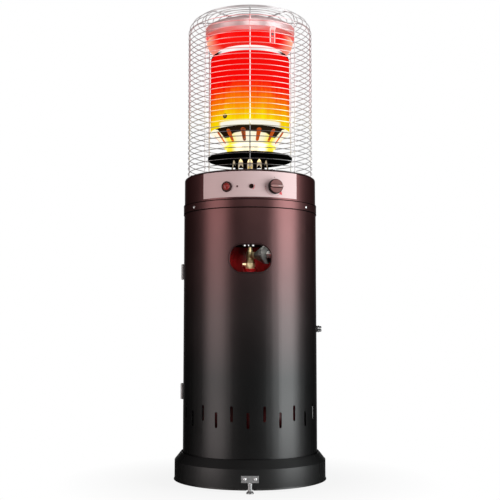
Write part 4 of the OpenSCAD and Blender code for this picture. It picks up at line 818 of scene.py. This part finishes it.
def mesh_of(work, name, finish):
    """Plain mesh of a bmesh, in one finish."""
    mesh = bpy.data.meshes.new(name)
    work.to_mesh(mesh)
    work.free()
    mesh.materials.append(finish.material)
    return mesh


def carry(piece, body):
    """Lets a piece ride on a body."""
    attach(piece, body)


def settle(tree, name, settings, body, points=None):
    """Runs a geometry tree and keeps its result as a plain mesh that rides on a body."""
    source = add_object(name + "_source", points or bpy.data.meshes.new(name + "_source"))
    modifier = source.modifiers.new("rule", "NODES")
    modifier.node_group = tree
    sockets = {item.name: item.identifier for item in tree.interface.items_tree if item.in_out == "INPUT"}
    for label, value in settings.items():
        modifier[sockets[label]] = value
    graph = bpy.context.evaluated_depsgraph_get()
    result = bpy.data.meshes.new_from_object(source.evaluated_get(graph), depsgraph=graph)
    result.name = name
    bpy.data.objects.remove(source)
    if not result.polygons:
        raise RuntimeError(name + " came out empty")
    piece = add_object(name, result)
    carry(piece, body)
    return piece


def keep_piece(work, name, finish, body, place=Matrix.Identity(4), smooth=False):
    """Turns a bmesh into a piece that rides on a body."""
    work.transform(place)
    bmesh.ops.recalc_face_normals(work, faces=work.faces)
    mesh = mesh_of(work, name, finish)
    for polygon in mesh.polygons:
        polygon.use_smooth = smooth
    piece = add_object(name, mesh)
    carry(piece, body)
    return piece


def out_from_axis(angle):
    """Level direction at an angle from the front."""
    return Vector((math.sin(angle), -math.cos(angle), 0.0))


def frame_at(angle, height, reach):
    """Matrix whose Z points outwards at an angle from the front, with Y up."""
    side = Vector((math.cos(angle), math.sin(angle), 0.0))
    out = out_from_axis(angle)
    spot = out * reach + Vector((0.0, 0.0, height))
    return Matrix((
        (side.x, 0.0, out.x, spot.x), (side.y, 0.0, out.y, spot.y), (0.0, 1.0, 0.0, spot.z),
        (0.0, 0.0, 0.0, 1.0)))


def screw_points(name, rows):
    """Mesh of points, each with an outward direction and a head diameter."""
    mesh = bpy.data.meshes.new(name)
    mesh.from_pydata([tuple(spot) for spot, _, _ in rows], [], [])
    mesh.attributes.new("outward", "FLOAT_VECTOR", "POINT")
    mesh.attributes.new("head", "FLOAT", "POINT")
    for i, (_, direction, size) in enumerate(rows):
        mesh.attributes["outward"].data[i].vector = direction
        mesh.attributes["head"].data[i].value = size
    return mesh


def islands(mesh):
    """Points of each separate solid of a mesh of loose triangles."""
    work = bmesh.new()
    work.from_mesh(mesh)
    bmesh.ops.remove_doubles(work, verts=work.verts, dist=1e-6)
    groups, seen = [], set()
    for vert in work.verts:
        if vert in seen:
            continue
        seen.add(vert)
        stack, points = [vert], []
        while stack:
            here = stack.pop()
            points.append(here.co.copy())
            for edge in here.link_edges:
                other = edge.other_vert(here)
                if other not in seen:
                    seen.add(other)
                    stack.append(other)
        groups.append(points)
    work.free()
    return groups


def seats_of(node, head, dome, upright):
    """Seat, direction and head size of each screw of a node, facing up or straight out from the axis."""
    rows = []
    for points in islands(NODES[node].data):
        middle = sum(points, Vector()) / len(points)
        axis = Vector((0.0, 0.0, 1.0)) if upright else Vector((middle.x, middle.y, 0.0)).normalized()
        tip = max(point.dot(axis) for point in points)
        rows.append((middle + axis * (tip - dome - middle.dot(axis)), axis, head))
    return rows


def loft(work, places, closed=False):
    """Adds rings of points to a bmesh, joined by faces; the ends are capped, or joined if the rings close."""
    rings = [[work.verts.new(place) for place in ring] for ring in places]
    for low, high in zip(rings, rings[1:] + rings[:closed]):
        for k in range(len(low)):
            n = (k + 1) % len(low)
            work.faces.new((low[k], low[n], high[n], high[k]))
    if not closed:
        work.faces.new(list(reversed(rings[0])))
        work.faces.new(rings[-1])
    return work


def even_turns(count):
    """Angles that share out a full turn."""
    return [FULL_TURN * k / count for k in range(count)]


def lathe(profile, corners, radius_at, closed=False):
    """Mesh of a profile of (radius, height) turned about Z, its radius given by a function of the angle."""
    places = []
    for radius, height in profile:
        reaches = [(radius_at(radius, height, a), a) for a in even_turns(corners)]
        places.append([(r * math.cos(a), r * math.sin(a), height) for r, a in reaches])
    return loft(bmesh.new(), places, closed)


def hoop(inner, outer, foot, tall):
    """Ring of square section about the axis."""
    top = foot + tall
    section = ((inner, foot), (outer, foot), (outer, top), (inner, top))
    return lathe(section, 180, lambda radius, height, a: radius, closed=True)


def round_edges(piece, width, angle=0.6):
    """Rounds a piece's sharp edges."""
    modifier = piece.modifiers.new("rounded edges", "BEVEL")
    modifier.width = width
    modifier.segments = 3
    modifier.limit_method = "ANGLE"
    modifier.angle_limit = angle
    graph = bpy.context.evaluated_depsgraph_get()
    mesh = bpy.data.meshes.new_from_object(piece.evaluated_get(graph), depsgraph=graph)
    piece.modifiers.clear()
    piece.data = mesh


# Operators

class HEATER_OT_coat_cabinet(bpy.types.Operator):
    """Satin powder coat on cabinet, door, head and base"""
    bl_idname = "heater.coat_cabinet"
    bl_label = "Coat Cabinet"

    def execute(self, context):
        tone = context.scene.heater_finishes
        # The middle and upper stops hold a painted red glow cast from the burner.
        painted_glow_stops = [(0.0, tone.coat_low), (0.3, tone.coat_middle), (1.0, tone.coat_high_painted_glow)]
        cover(coat_finish("Cabinet Coat", painted_glow_stops, PAINTED_GLOW_FOOT, PAINTED_GLOW_TOP, rough=0.36),
              "body_shell", "rear_door", "control_housing", "collar_band")
        plain = [(0.0, tone.base_coat), (1.0, tone.base_coat)]
        cover(coat_finish("Base Coat", plain, foot=0.0, top=1.0, rough=0.38), "base_ring")
        inner = [(0.0, (0.03, 0.03, 0.031)), (1.0, (0.04, 0.04, 0.041))]
        cover(coat_finish("Inner Black", inner, foot=0.0, top=0.1, rough=0.55), "base_plate")
        return {"FINISHED"}


class HEATER_OT_plate_metals(bpy.types.Operator):
    """Bare and plated metals of feet, panel, guard, valve and fittings"""
    bl_idname = "heater.plate_metals"
    bl_label = "Plate Metals"

    def execute(self, context):
        tone = context.scene.heater_finishes
        cover(metal_finish("Zinc Plate", tone.zinc, rough=0.34, along=60.0, across=700.0),
              "foot_brackets", "foot_front", "foot_right", "foot_left", "guard_clips", "latch_cam",
              "spindle_washer", "valve_spindle")
        cover(metal_finish("Dull Zinc", scaled(tone.zinc, 0.45), rough=0.4, along=60.0, across=700.0),
              "hinge_pins", "hinge_frame_leaves", "hinge_door_leaves")
        cover(metal_finish("Brushed Panel", tone.panel, rough=0.62, along=12.0, across=1500.0, depth=0.08,
                           shade=0.12, rolled=True, bare=0.25, gloss=0.1), "control_panel")
        cover(cap_finish(tone.cap), "reflector_cap")
        cover(wire_finish("Guard Wire", tone.wire, bare=0.7, top=0.16, edge=RINGS_HIGH.x), "guard_rings")
        cover(wire_finish("Upright Wire", scaled(tone.wire, 1.3), bare=0.5, top=0.0, edge=UPRIGHTS_R),
              "guard_uprights")
        cover(metal_finish("Turned Brass", tone.brass, rough=0.34, along=900.0, across=60.0, bare=0.6),
              "injector", "thermocouple")
        cover(valve_finish(tone.brass), "cylinder_valve")
        cover(cast_finish("Cast Alloy", (0.45, 0.46, 0.47), rough=0.46, depth=0.2),
              "gas_valve", "regulator", "pilot_burner")
        cover(metal_finish("Drawn Tube", (0.6, 0.6, 0.61), rough=0.3, along=30.0, across=900.0),
              "burner_pipe")
        cover(metal_finish("Bright Chrome", (0.62, 0.62, 0.63), rough=0.12, along=40.0, across=500.0,
                           depth=0.02, shade=0.06), "latch_knob")
        cover(metal_finish("Port Steel", (0.07, 0.045, 0.05), rough=0.4, along=200.0, across=200.0),
              "ignition_port")
        return {"FINISHED"}


class HEATER_OT_mould_plastics(bpy.types.Operator):
    """Plastics and ceramic of the controls and the coupling"""
    bl_idname = "heater.mould_plastics"
    bl_label = "Mould Plastics"

    def execute(self, context):
        tone = context.scene.heater_finishes
        cover(plastic_finish("Black Plastic", (0.012, 0.009, 0.009), rough=0.4), "latch_bush", "hand_wheel")
        cover(plastic_finish("Bezel Plastic", (0.04, 0.014, 0.013), rough=0.4, gloss=0.1),
              "sight_bezel", "igniter_bezel")
        cover(plastic_finish("Red Plastic", (0.24, 0.022, 0.02), rough=0.26, depth=0.03), "igniter_button")
        cover(plastic_finish("Stud Plastic", (0.06, 0.008, 0.008), rough=0.4), "panel_stud")
        cover(plastic_finish("Ivory Plastic", (0.62, 0.57, 0.46), rough=0.5), "igniter_body")
        cover(plastic_finish("Ceramic", (0.72, 0.69, 0.62), rough=0.22, depth=0.03), "spark_electrode")
        cover(plastic_finish("Coupling Plastic", tone.nut, rough=0.46, cell=900.0), "coupling_nut")
        return {"FINISHED"}


class HEATER_OT_heat_burner(bpy.types.Operator):
    """Glow of the drum, painted glow and reflections on cone, neck, bowl, cover and straps, and black enamel
    round them
    """
    bl_idname = "heater.heat_burner"
    bl_label = "Heat Burner"

    def execute(self, context):
        size = context.scene.heater_sizes
        cover(drum_finish("Emitter Glow", context.scene.heater_finishes, strength=1.0), "emitter_drum")
        cover(cone_finish(size), "emitter_cone")
        cover(neck_finish(), "burner_neck")
        cover(bowl_finish(), "reflector_bowl")
        cover(cover_finish(), "emitter_cover")
        cover(strap_finish(size.strap_w, size.strap_turn), "cap_straps")
        cover(black_finish("Dish Black", (0.003, 0.0028, 0.0028), rough=0.3), "burner_dish")
        lip = 0.0096
        cover(black_finish("Pedestal Black", (0.004, 0.0036, 0.0036), rough=0.3, inside=PEDESTAL_R - lip),
              "pedestal")
        return {"FINISHED"}


class HEATER_OT_enamel_cylinder(bpy.types.Operator):
    """Red enamel on the gas cylinder, its collar and its foot ring"""
    bl_idname = "heater.enamel_cylinder"
    bl_label = "Enamel Cylinder"

    def execute(self, context):
        cover(enamel_finish(context.scene.heater_finishes.cylinder),
              "cylinder_shell", "cylinder_collar", "cylinder_foot_ring")
        return {"FINISHED"}


class HEATER_OT_weave_screen(bpy.types.Operator):
    """Woven wire screen round the emitter drum"""
    bl_idname = "heater.weave_screen"
    bl_label = "Weave Screen"

    def execute(self, context):
        size = context.scene.heater_sizes
        finish = drum_finish("Emitter Screen", context.scene.heater_finishes, strength=0.86)
        margin = 0.001
        stand_off = 0.6 * size.screen_wire
        settle(screen_tree(), "emitter_screen", {
            "Radius": DRUM_HIGH.x + stand_off, "Foot": DRUM_LOW.z + margin,
            "Height": DRUM_HIGH.z - DRUM_LOW.z - 2 * margin, "Pitch": size.screen_pitch,
            "Wire": size.screen_wire, "Material": finish.material}, "heater")
        return {"FINISHED"}


class HEATER_OT_weld_guard(bpy.types.Operator):
    """Weld beads where the guard's rings cross its uprights"""
    bl_idname = "heater.weld_guard"
    bl_label = "Weld Guard"

    def execute(self, context):
        size = context.scene.heater_sizes
        finish = cast_finish("Weld Bead", (0.5, 0.49, 0.5), rough=0.34)
        wire = size.ring_wire / 2
        settle(weld_tree(), "guard_welds", {
            "Side Radius": RINGS_HIGH.x - wire, "Bend": size.guard_bend, "Inset": wire,
            "Foot": RINGS_LOW.z + wire, "Top": RINGS_HIGH.z - wire, "Pitch": size.ring_pitch,
            "Rings": size.rings, "Uprights": size.uprights, "Bead": size.weld, "Material": finish.material},
            "heater")
        return {"FINISHED"}


class HEATER_OT_drive_screws(bpy.types.Operator):
    """Cross-recessed screws of brackets, band, hinges, burner and guard"""
    bl_idname = "heater.drive_screws"
    bl_label = "Drive Screws"

    def execute(self, context):
        bright = cast_finish("Bright Screw", (0.8, 0.8, 0.8), rough=0.26, bare=0.6)
        dark = cast_finish("Dark Screw", (0.2, 0.17, 0.17), rough=0.36)
        tree = screw_tree()
        # Each node of a set has its screws' head diameter and dome height, and whether they stand upright
        sets = (
            ("bracket_screw_set", "heater", "zinc", bright, (("bracket_screws", 0.009, 0.003, False),)),
            ("band_screw_set", "heater", "dark_screw", bright, (("band_screws", 0.008, 0.0024, False),)),
            ("dark_screw_set", "heater", "dark_screw", dark,
             (("hinge_frame_screws", 0.007, 0.0024, False), ("pedestal_screws", 0.007, 0.0024, True),
              ("strap_screws", 0.008, 0.0022, False), ("guard_screws", 0.007, 0.0024, True))),
            ("door_screw_set", "door", "dark_screw", dark, (("hinge_door_screws", 0.007, 0.0024, False),)),
        )
        for name, body, slot, finish, nodes in sets:
            rows = [row for node in nodes for row in seats_of(*node)]
            piece = settle(tree, name, {"Dome": 0.3, "Recess": 0.13, "Material": finish.material}, body,
                           screw_points(name + "_points", rows))
            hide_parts(*[node[0] for node in nodes])
        return {"FINISHED"}


class HEATER_OT_trim_window(bpy.types.Operator):
    """Rolled edge round the hand window"""
    bl_idname = "heater.trim_window"
    bl_label = "Trim Window"

    def execute(self, context):
        size = context.scene.heater_sizes
        # Darker than the cabinet's coat as painted shade round the window, with the same painted red glow
        # cast higher up.
        stops = [(0.0, (0.03, 0.024, 0.024)), (1.0, (0.085, 0.038, 0.038))]
        finish = coat_finish("Edging Coat", stops, PAINTED_GLOW_FOOT, PAINTED_GLOW_TOP, rough=0.5)
        sunk = 0.0004
        settle(edging_tree(), "window_edging", {
            "Width": size.window_w, "Height": size.window_h, "Corner": size.window_corner,
            "Middle X": size.window_x, "Middle Z": size.window_z, "Wall Radius": SHELL_R - sunk,
            "Bead": size.edging, "Material": finish.material}, "heater")
        return {"FINISHED"}


class HEATER_OT_lay_seams(bpy.types.Operator):
    """Dark lines along both edges of the collar band: painted shade of the gaps there, laid as thin black
    rings
    """
    bl_idname = "heater.lay_seams"
    bl_label = "Lay Seams"

    def execute(self, context):
        # Thin black rings standing for the shade in the gaps along the band's edges: painted shade.
        finish = black_finish("Seam Black", (0.003, 0.002, 0.002), rough=0.6)
        tall, sunk, proud = 0.0022, 0.0004, 0.0002
        upper_drop, lower_gap = 0.0046, 0.0002
        seams = (("upper_seam", BAND_HIGH.x - sunk, BAND_HIGH.z - upper_drop),
                 ("lower_seam", SHELL_R - sunk, BAND_LOW.z - tall - lower_gap))
        for name, inner, foot in seams:
            seam = hoop(inner, BAND_HIGH.x + proud, foot, tall)
            keep_piece(seam, name, finish, "heater")
        return {"FINISHED"}


class HEATER_OT_shape_knob(bpy.types.Operator):
    """Fluted control knob with a rounded grip bar and a pointer line"""
    bl_idname = "heater.shape_knob"
    bl_label = "Shape Knob"

    def execute(self, context):
        size = context.scene.heater_sizes
        out = out_from_axis(KNOB_TURN)
        reaches = [v.co.dot(out) for v in NODES["control_knob"].data.vertices]
        foot, tip = min(reaches), max(reaches)
        place = frame_at(KNOB_TURN, KNOB_Z, foot)
        # Near-black sides of the skirt and grip: painted shade, as for the shaded underside of the grip.
        dark = (0.004, 0.002, 0.002)
        face_h, skin = 0.0118, 0.0004
        finish = faced_finish("Knob Plastic", (0.2, 0.092, 0.088), dark, rough=0.36, out=out,
                              depth=foot + face_h - skin)
        skirt = self.skirt(size.knob_d / 2, size.knob_flutes, face_h)
        keep_piece(skirt, "knob_skirt", finish, "knob", place, smooth=True)
        tall = tip - foot
        finish = faced_finish("Grip Plastic", (0.34, 0.18, 0.17), dark, rough=0.32, out=out, depth=tip - skin)
        bar = keep_piece(self.grip(tall), "knob_grip", finish, "knob", place)
        round_edges(bar, width=0.0009)
        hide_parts("control_knob")
        line_at, line_size = Vector((0.0098, 0.0, tall + 0.0001)), Vector((0.0125, 0.0011, 0.0003))
        line = bmesh.new()
        bmesh.ops.create_cube(line, size=1.0, matrix=Matrix.LocRotScale(line_at, None, line_size))
        finish = plastic_finish("Pointer White", (0.6, 0.57, 0.56), rough=0.4)
        keep_piece(line, "knob_pointer", finish, "knob", place)
        return {"FINISHED"}

    @staticmethod
    def skirt(rim_r, flutes, face_h):
        """Round skirt with shallow flutes below its rounded rim."""
        bore_r, hub_r, flute_depth = 0.0062, 0.004, 0.00045
        flute_foot, flute_top, flute_r = 0.0015, 0.009, 0.93 * rim_r

        def fluted(radius, height, a):
            in_flutes = radius > flute_r and flute_foot < height < flute_top
            return radius - (flute_depth * (1 - math.cos(flutes * a)) if in_flutes else 0.0)

        # How far in from the rim, and how high
        rim = ((0.0006, 0.0), (0.0, 0.0006), (0.0, 0.0014), (0.0, 0.0016), (0.0002, 0.0056), (0.0005, 0.0088),
               (0.0012, 0.0102), (0.0026, 0.0112), (0.0046, 0.0116))
        profile = [(bore_r, 0.0), *((rim_r - inset, height) for inset, height in rim), (hub_r, face_h)]
        return lathe(profile, flutes * 6, fluted)

    @staticmethod
    def grip(tall):
        """Bar across the knob that narrows outwards, with full ends."""
        # Height, half length and half width
        sections = ((0.0106, 0.0205, 0.0056), (0.0128, 0.0202, 0.0046), (tall - 0.002, 0.0196, 0.0038),
                    (tall, 0.019, 0.0032))
        end_bulge, side_bulge = 0.55, 0.75
        outline = [(math.copysign(abs(c) ** end_bulge, c), math.copysign(abs(s) ** side_bulge, s))
                   for c, s in ((math.cos(a), math.sin(a)) for a in even_turns(48))]
        return loft(bmesh.new(), [[(along * half_l, across * half_w, height) for along, across in outline]
                                  for height, half_l, half_w in sections])


class HEATER_OT_mark_panel(bpy.types.Operator):
    """Printed dial marks round the knob and a red pointer on the panel"""
    bl_idname = "heater.mark_panel"
    bl_label = "Mark Panel"

    def execute(self, context):
        wall = max(math.hypot(v.co.x, v.co.y) for v in NODES["control_panel"].data.vertices)
        dark = plastic_finish("Dial Print", (0.05, 0.035, 0.035), rough=0.5)
        red = plastic_finish("Pointer Red", (0.62, 0.008, 0.02), rough=0.4)
        ticks = [self.tick(a, near=0.0245, far=0.0285, half=0.0005) for a in (90, 180)]
        self.print_marks("dial_marks", dark, wall, ticks)
        pale_red = plastic_finish("Arc Red", (0.45, 0.12, 0.13), rough=0.5)
        self.print_marks("dial_arc", pale_red, wall, self.arc(170, 300, step=5, near=0.0262, far=0.0268))
        wedge = self.turned(((0.0226, -0.0066), (0.0318, 0.0), (0.0226, 0.0066)), -42)
        block = self.tick(8, near=0.0222, far=0.0262, half=0.0016)
        self.print_marks("dial_pointer", red, wall, [wedge, block])
        low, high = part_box("sight_bezel")
        port_r = (high.z - low.z) / 2
        port_x = wall * math.asin((low.x + high.x) / 2 / wall) - wall * KNOB_TURN
        sweep = self.arc(-70, 30, step=10, near=port_r + 0.0012, far=port_r + 0.0026)
        self.print_marks("port_mark", red, wall, [[(u + port_x, v) for u, v in band] for band in sweep])
        return {"FINISHED"}

    @staticmethod
    def turned(outline, degrees):
        """An outline turned about the knob's axis."""
        c, s = math.cos(math.radians(degrees)), math.sin(math.radians(degrees))
        return [(u * c - v * s, u * s + v * c) for u, v in outline]

    @classmethod
    def tick(cls, degrees, near, far, half):
        """Outline of one dial tick, across and up from the knob's axis."""
        return cls.turned(((near, -half), (far, -half), (far, half), (near, half)), degrees)

    @staticmethod
    def arc(start, end, step, near, far):
        """Outlines of the short pieces of an arc, between two angles in degrees."""
        turns = [math.radians(a) for a in range(start, end + 1, step)]
        return [[(r * math.cos(a), r * math.sin(a)) for r, a in ((near, b), (near, c), (far, c), (far, b))]
                for b, c in zip(turns, turns[1:])]

    @staticmethod
    def print_marks(name, finish, wall, outlines):
        """Lays flat outlines on the round panel as a thin printed film."""
        film_foot, film_top = 0.00004, 0.00016
        work = bmesh.new()
        for outline in outlines:
            spots = [(KNOB_TURN + across / wall, KNOB_Z + up) for across, up in outline]
            loft(work, [[(reach * math.sin(a), -reach * math.cos(a), height) for a, height in spots]
                        for reach in (wall + film_foot, wall + film_top)])
        keep_piece(work, name, finish, "heater")


class HEATER_OT_set_stage(bpy.types.Operator):
    """Floor, studio lights, pale surroundings and the camera"""
    bl_idname = "heater.set_stage"
    bl_label = "Set Stage"

    def execute(self, context):
        studio = context.scene.heater_studio
        context.scene.view_settings.view_transform = "Standard"
        self.floor(tuple(studio.floor))
        self.surroundings()
        # Angle from the front, distance and height of each light's stand, and the light's width and height
        self.strip("left_strip", (-57.0, 2.3, 0.5), (1.5, 3.0), studio.left_power, (1.0, 0.9, 0.885))
        self.strip("right_strip", (63.0, 2.3, 0.5), (1.6, 3.0), studio.right_power, (0.95, 0.98, 0.98))
        self.strip("front_fill", (4.0, 2.6, 1.9), (1.6, 0.7), studio.fill_power, (1.0, 0.98, 0.96))
        self.window_light(context.scene.heater_sizes.window_z, studio.window_power)
        camera = add_object("camera", bpy.data.cameras.new("camera"))
        camera.data.sensor_width = 36.0
        camera.data.lens = studio.lens
        camera.location = (0.0, -studio.camera_y, studio.camera_z)
        camera.rotation_euler = (math.pi / 2 + studio.camera_up, 0.0, 0.0)
        context.scene.camera = camera
        return {"FINISHED"}

    @staticmethod
    def floor(pale):
        """Pale floor that shows white to the camera but keeps the heater's shadow."""
        matt = Finish("Pale Floor", Roughness=0.9, Specular_IOR_Level=0.1)
        matt.feed(Base_Color=matt.mix(matt.noise(matt.place, 3.0), pale, scaled(pale, 1.02)))
        glow = matt.put("ShaderNodeEmission", {"Color": (1.0, 1.0, 1.0), "Strength": 1.0})
        reach = matt.put("ShaderNodeVectorMath", {0: matt.place}, operation="LENGTH").outputs["Value"]
        seen = matt.put("ShaderNodeLightPath").outputs["Is Camera Ray"]
        shadow_r, white_r, shadow_share = 0.25, 0.56, 0.88
        share = matt.times(seen, matt.remap(reach, shadow_r, white_r, shadow_share, 1.0))
        blend = matt.put("ShaderNodeMixShader", {0: share, 1: matt.shader.outputs["BSDF"],
                                                 2: glow.outputs["Emission"]})
        matt.fill(matt.tree.nodes["Material Output"].inputs["Surface"], blend.outputs["Shader"])
        work = bmesh.new()
        bmesh.ops.create_circle(work, cap_ends=True, segments=96, radius=0.6)
        add_object("floor", mesh_of(work, "floor", matt))

    @staticmethod
    def surroundings():
        """White to the camera and to metal that mirrors what is behind the heater; faint light all round."""
        world = bpy.data.worlds.new("Studio")
        bpy.context.scene.world = world
        world.use_nodes = True
        nodes = Nodes(world.node_tree)
        way = nodes.parts(nodes.put("ShaderNodeTexCoord").outputs["Generated"])
        path = nodes.put("ShaderNodeLightPath").outputs
        mirrored = nodes.times(path["Is Glossy Ray"], nodes.remap(way["Y"], 0.9, 1.0))
        shown = nodes.calc("MAXIMUM", path["Is Camera Ray"], path["Is Transmission Ray"])
        faint, white = 0.08, 1.0
        strength = nodes.put("ShaderNodeMix", {0: nodes.calc("MAXIMUM", shown, mirrored), 2: faint, 3: white})
        sky = world.node_tree.nodes["Background"]
        nodes.fill(sky.inputs["Color"], (1.0, 1.0, 1.0))
        nodes.fill(sky.inputs["Strength"], strength.outputs[0])

    @staticmethod
    def lamp(name, size, power, rgb, spot, target):
        """Soft light at a spot, turned to a target."""
        light = bpy.data.lights.new(name, "AREA")
        light.shape = "RECTANGLE"
        light.size, light.size_y = size
        light.energy = power
        light.color = rgb
        stand = add_object(name, light)
        stand.location = spot
        stand.rotation_euler = (Vector(target) - stand.location).to_track_quat("-Z", "Y").to_euler()
        return light

    @classmethod
    def strip(cls, name, stand, size, power, rgb):
        """Soft light on a stand, turned to the heater's middle."""
        degrees, reach, height = stand
        spot = out_from_axis(math.radians(degrees)) * reach
        cls.lamp(name, size, power, rgb, (spot.x, spot.y, height), (0.0, 0.0, 0.6))

    @classmethod
    def window_light(cls, middle, power):
        """Small light inside the cabinet, above the hand window, that shows the valve behind it."""
        spot = (0.05, 0.06 - SHELL_R, middle + 0.1)
        target = (0.03, -0.03, middle - 0.035)
        light = cls.lamp("window_light", (0.22, 0.05), power, (1.0, 0.93, 0.85), spot, target)
        light.spread = math.radians(80.0)


class HEATER_PT_sidebar(bpy.types.Panel):
    """Sizes, finishes and steps of the heater"""
    bl_idname = "HEATER_PT_sidebar"
    bl_label = "Gas Patio Heater"
    bl_space_type = "VIEW_3D"
    bl_region_type = "UI"
    bl_category = "Heater"

    def draw(self, context):
        layout = self.layout
        scene = context.scene
        for holder in (scene.heater_sizes, scene.heater_finishes, scene.heater_studio):
            box = layout.box()
            for key in holder.__annotations__:
                box.prop(holder, key)
        for step in STEPS:
            layout.operator(step.bl_idname)


STEPS = (
    HEATER_OT_coat_cabinet, HEATER_OT_plate_metals, HEATER_OT_mould_plastics, HEATER_OT_heat_burner,
    HEATER_OT_enamel_cylinder, HEATER_OT_weave_screen, HEATER_OT_weld_guard, HEATER_OT_drive_screws,
    HEATER_OT_trim_window, HEATER_OT_lay_seams, HEATER_OT_shape_knob, HEATER_OT_mark_panel,
    HEATER_OT_set_stage,
)
CLASSES = (HeaterSizes, HeaterFinishes, HeaterStudio, *STEPS, HEATER_PT_sidebar)


def register():
    for item in CLASSES:
        bpy.utils.register_class(item)
    bpy.types.Scene.heater_sizes = PointerProperty(type=HeaterSizes)
    bpy.types.Scene.heater_finishes = PointerProperty(type=HeaterFinishes)
    bpy.types.Scene.heater_studio = PointerProperty(type=HeaterStudio)


def unregister():
    del bpy.types.Scene.heater_studio
    del bpy.types.Scene.heater_finishes
    del bpy.types.Scene.heater_sizes
    for item in reversed(CLASSES):
        bpy.utils.unregister_class(item)


def main():
    register()
    for step in STEPS:
        family, verb = step.bl_idname.split(".")
        getattr(getattr(bpy.ops, family), verb)()


if __name__ == "__main__":
    main()
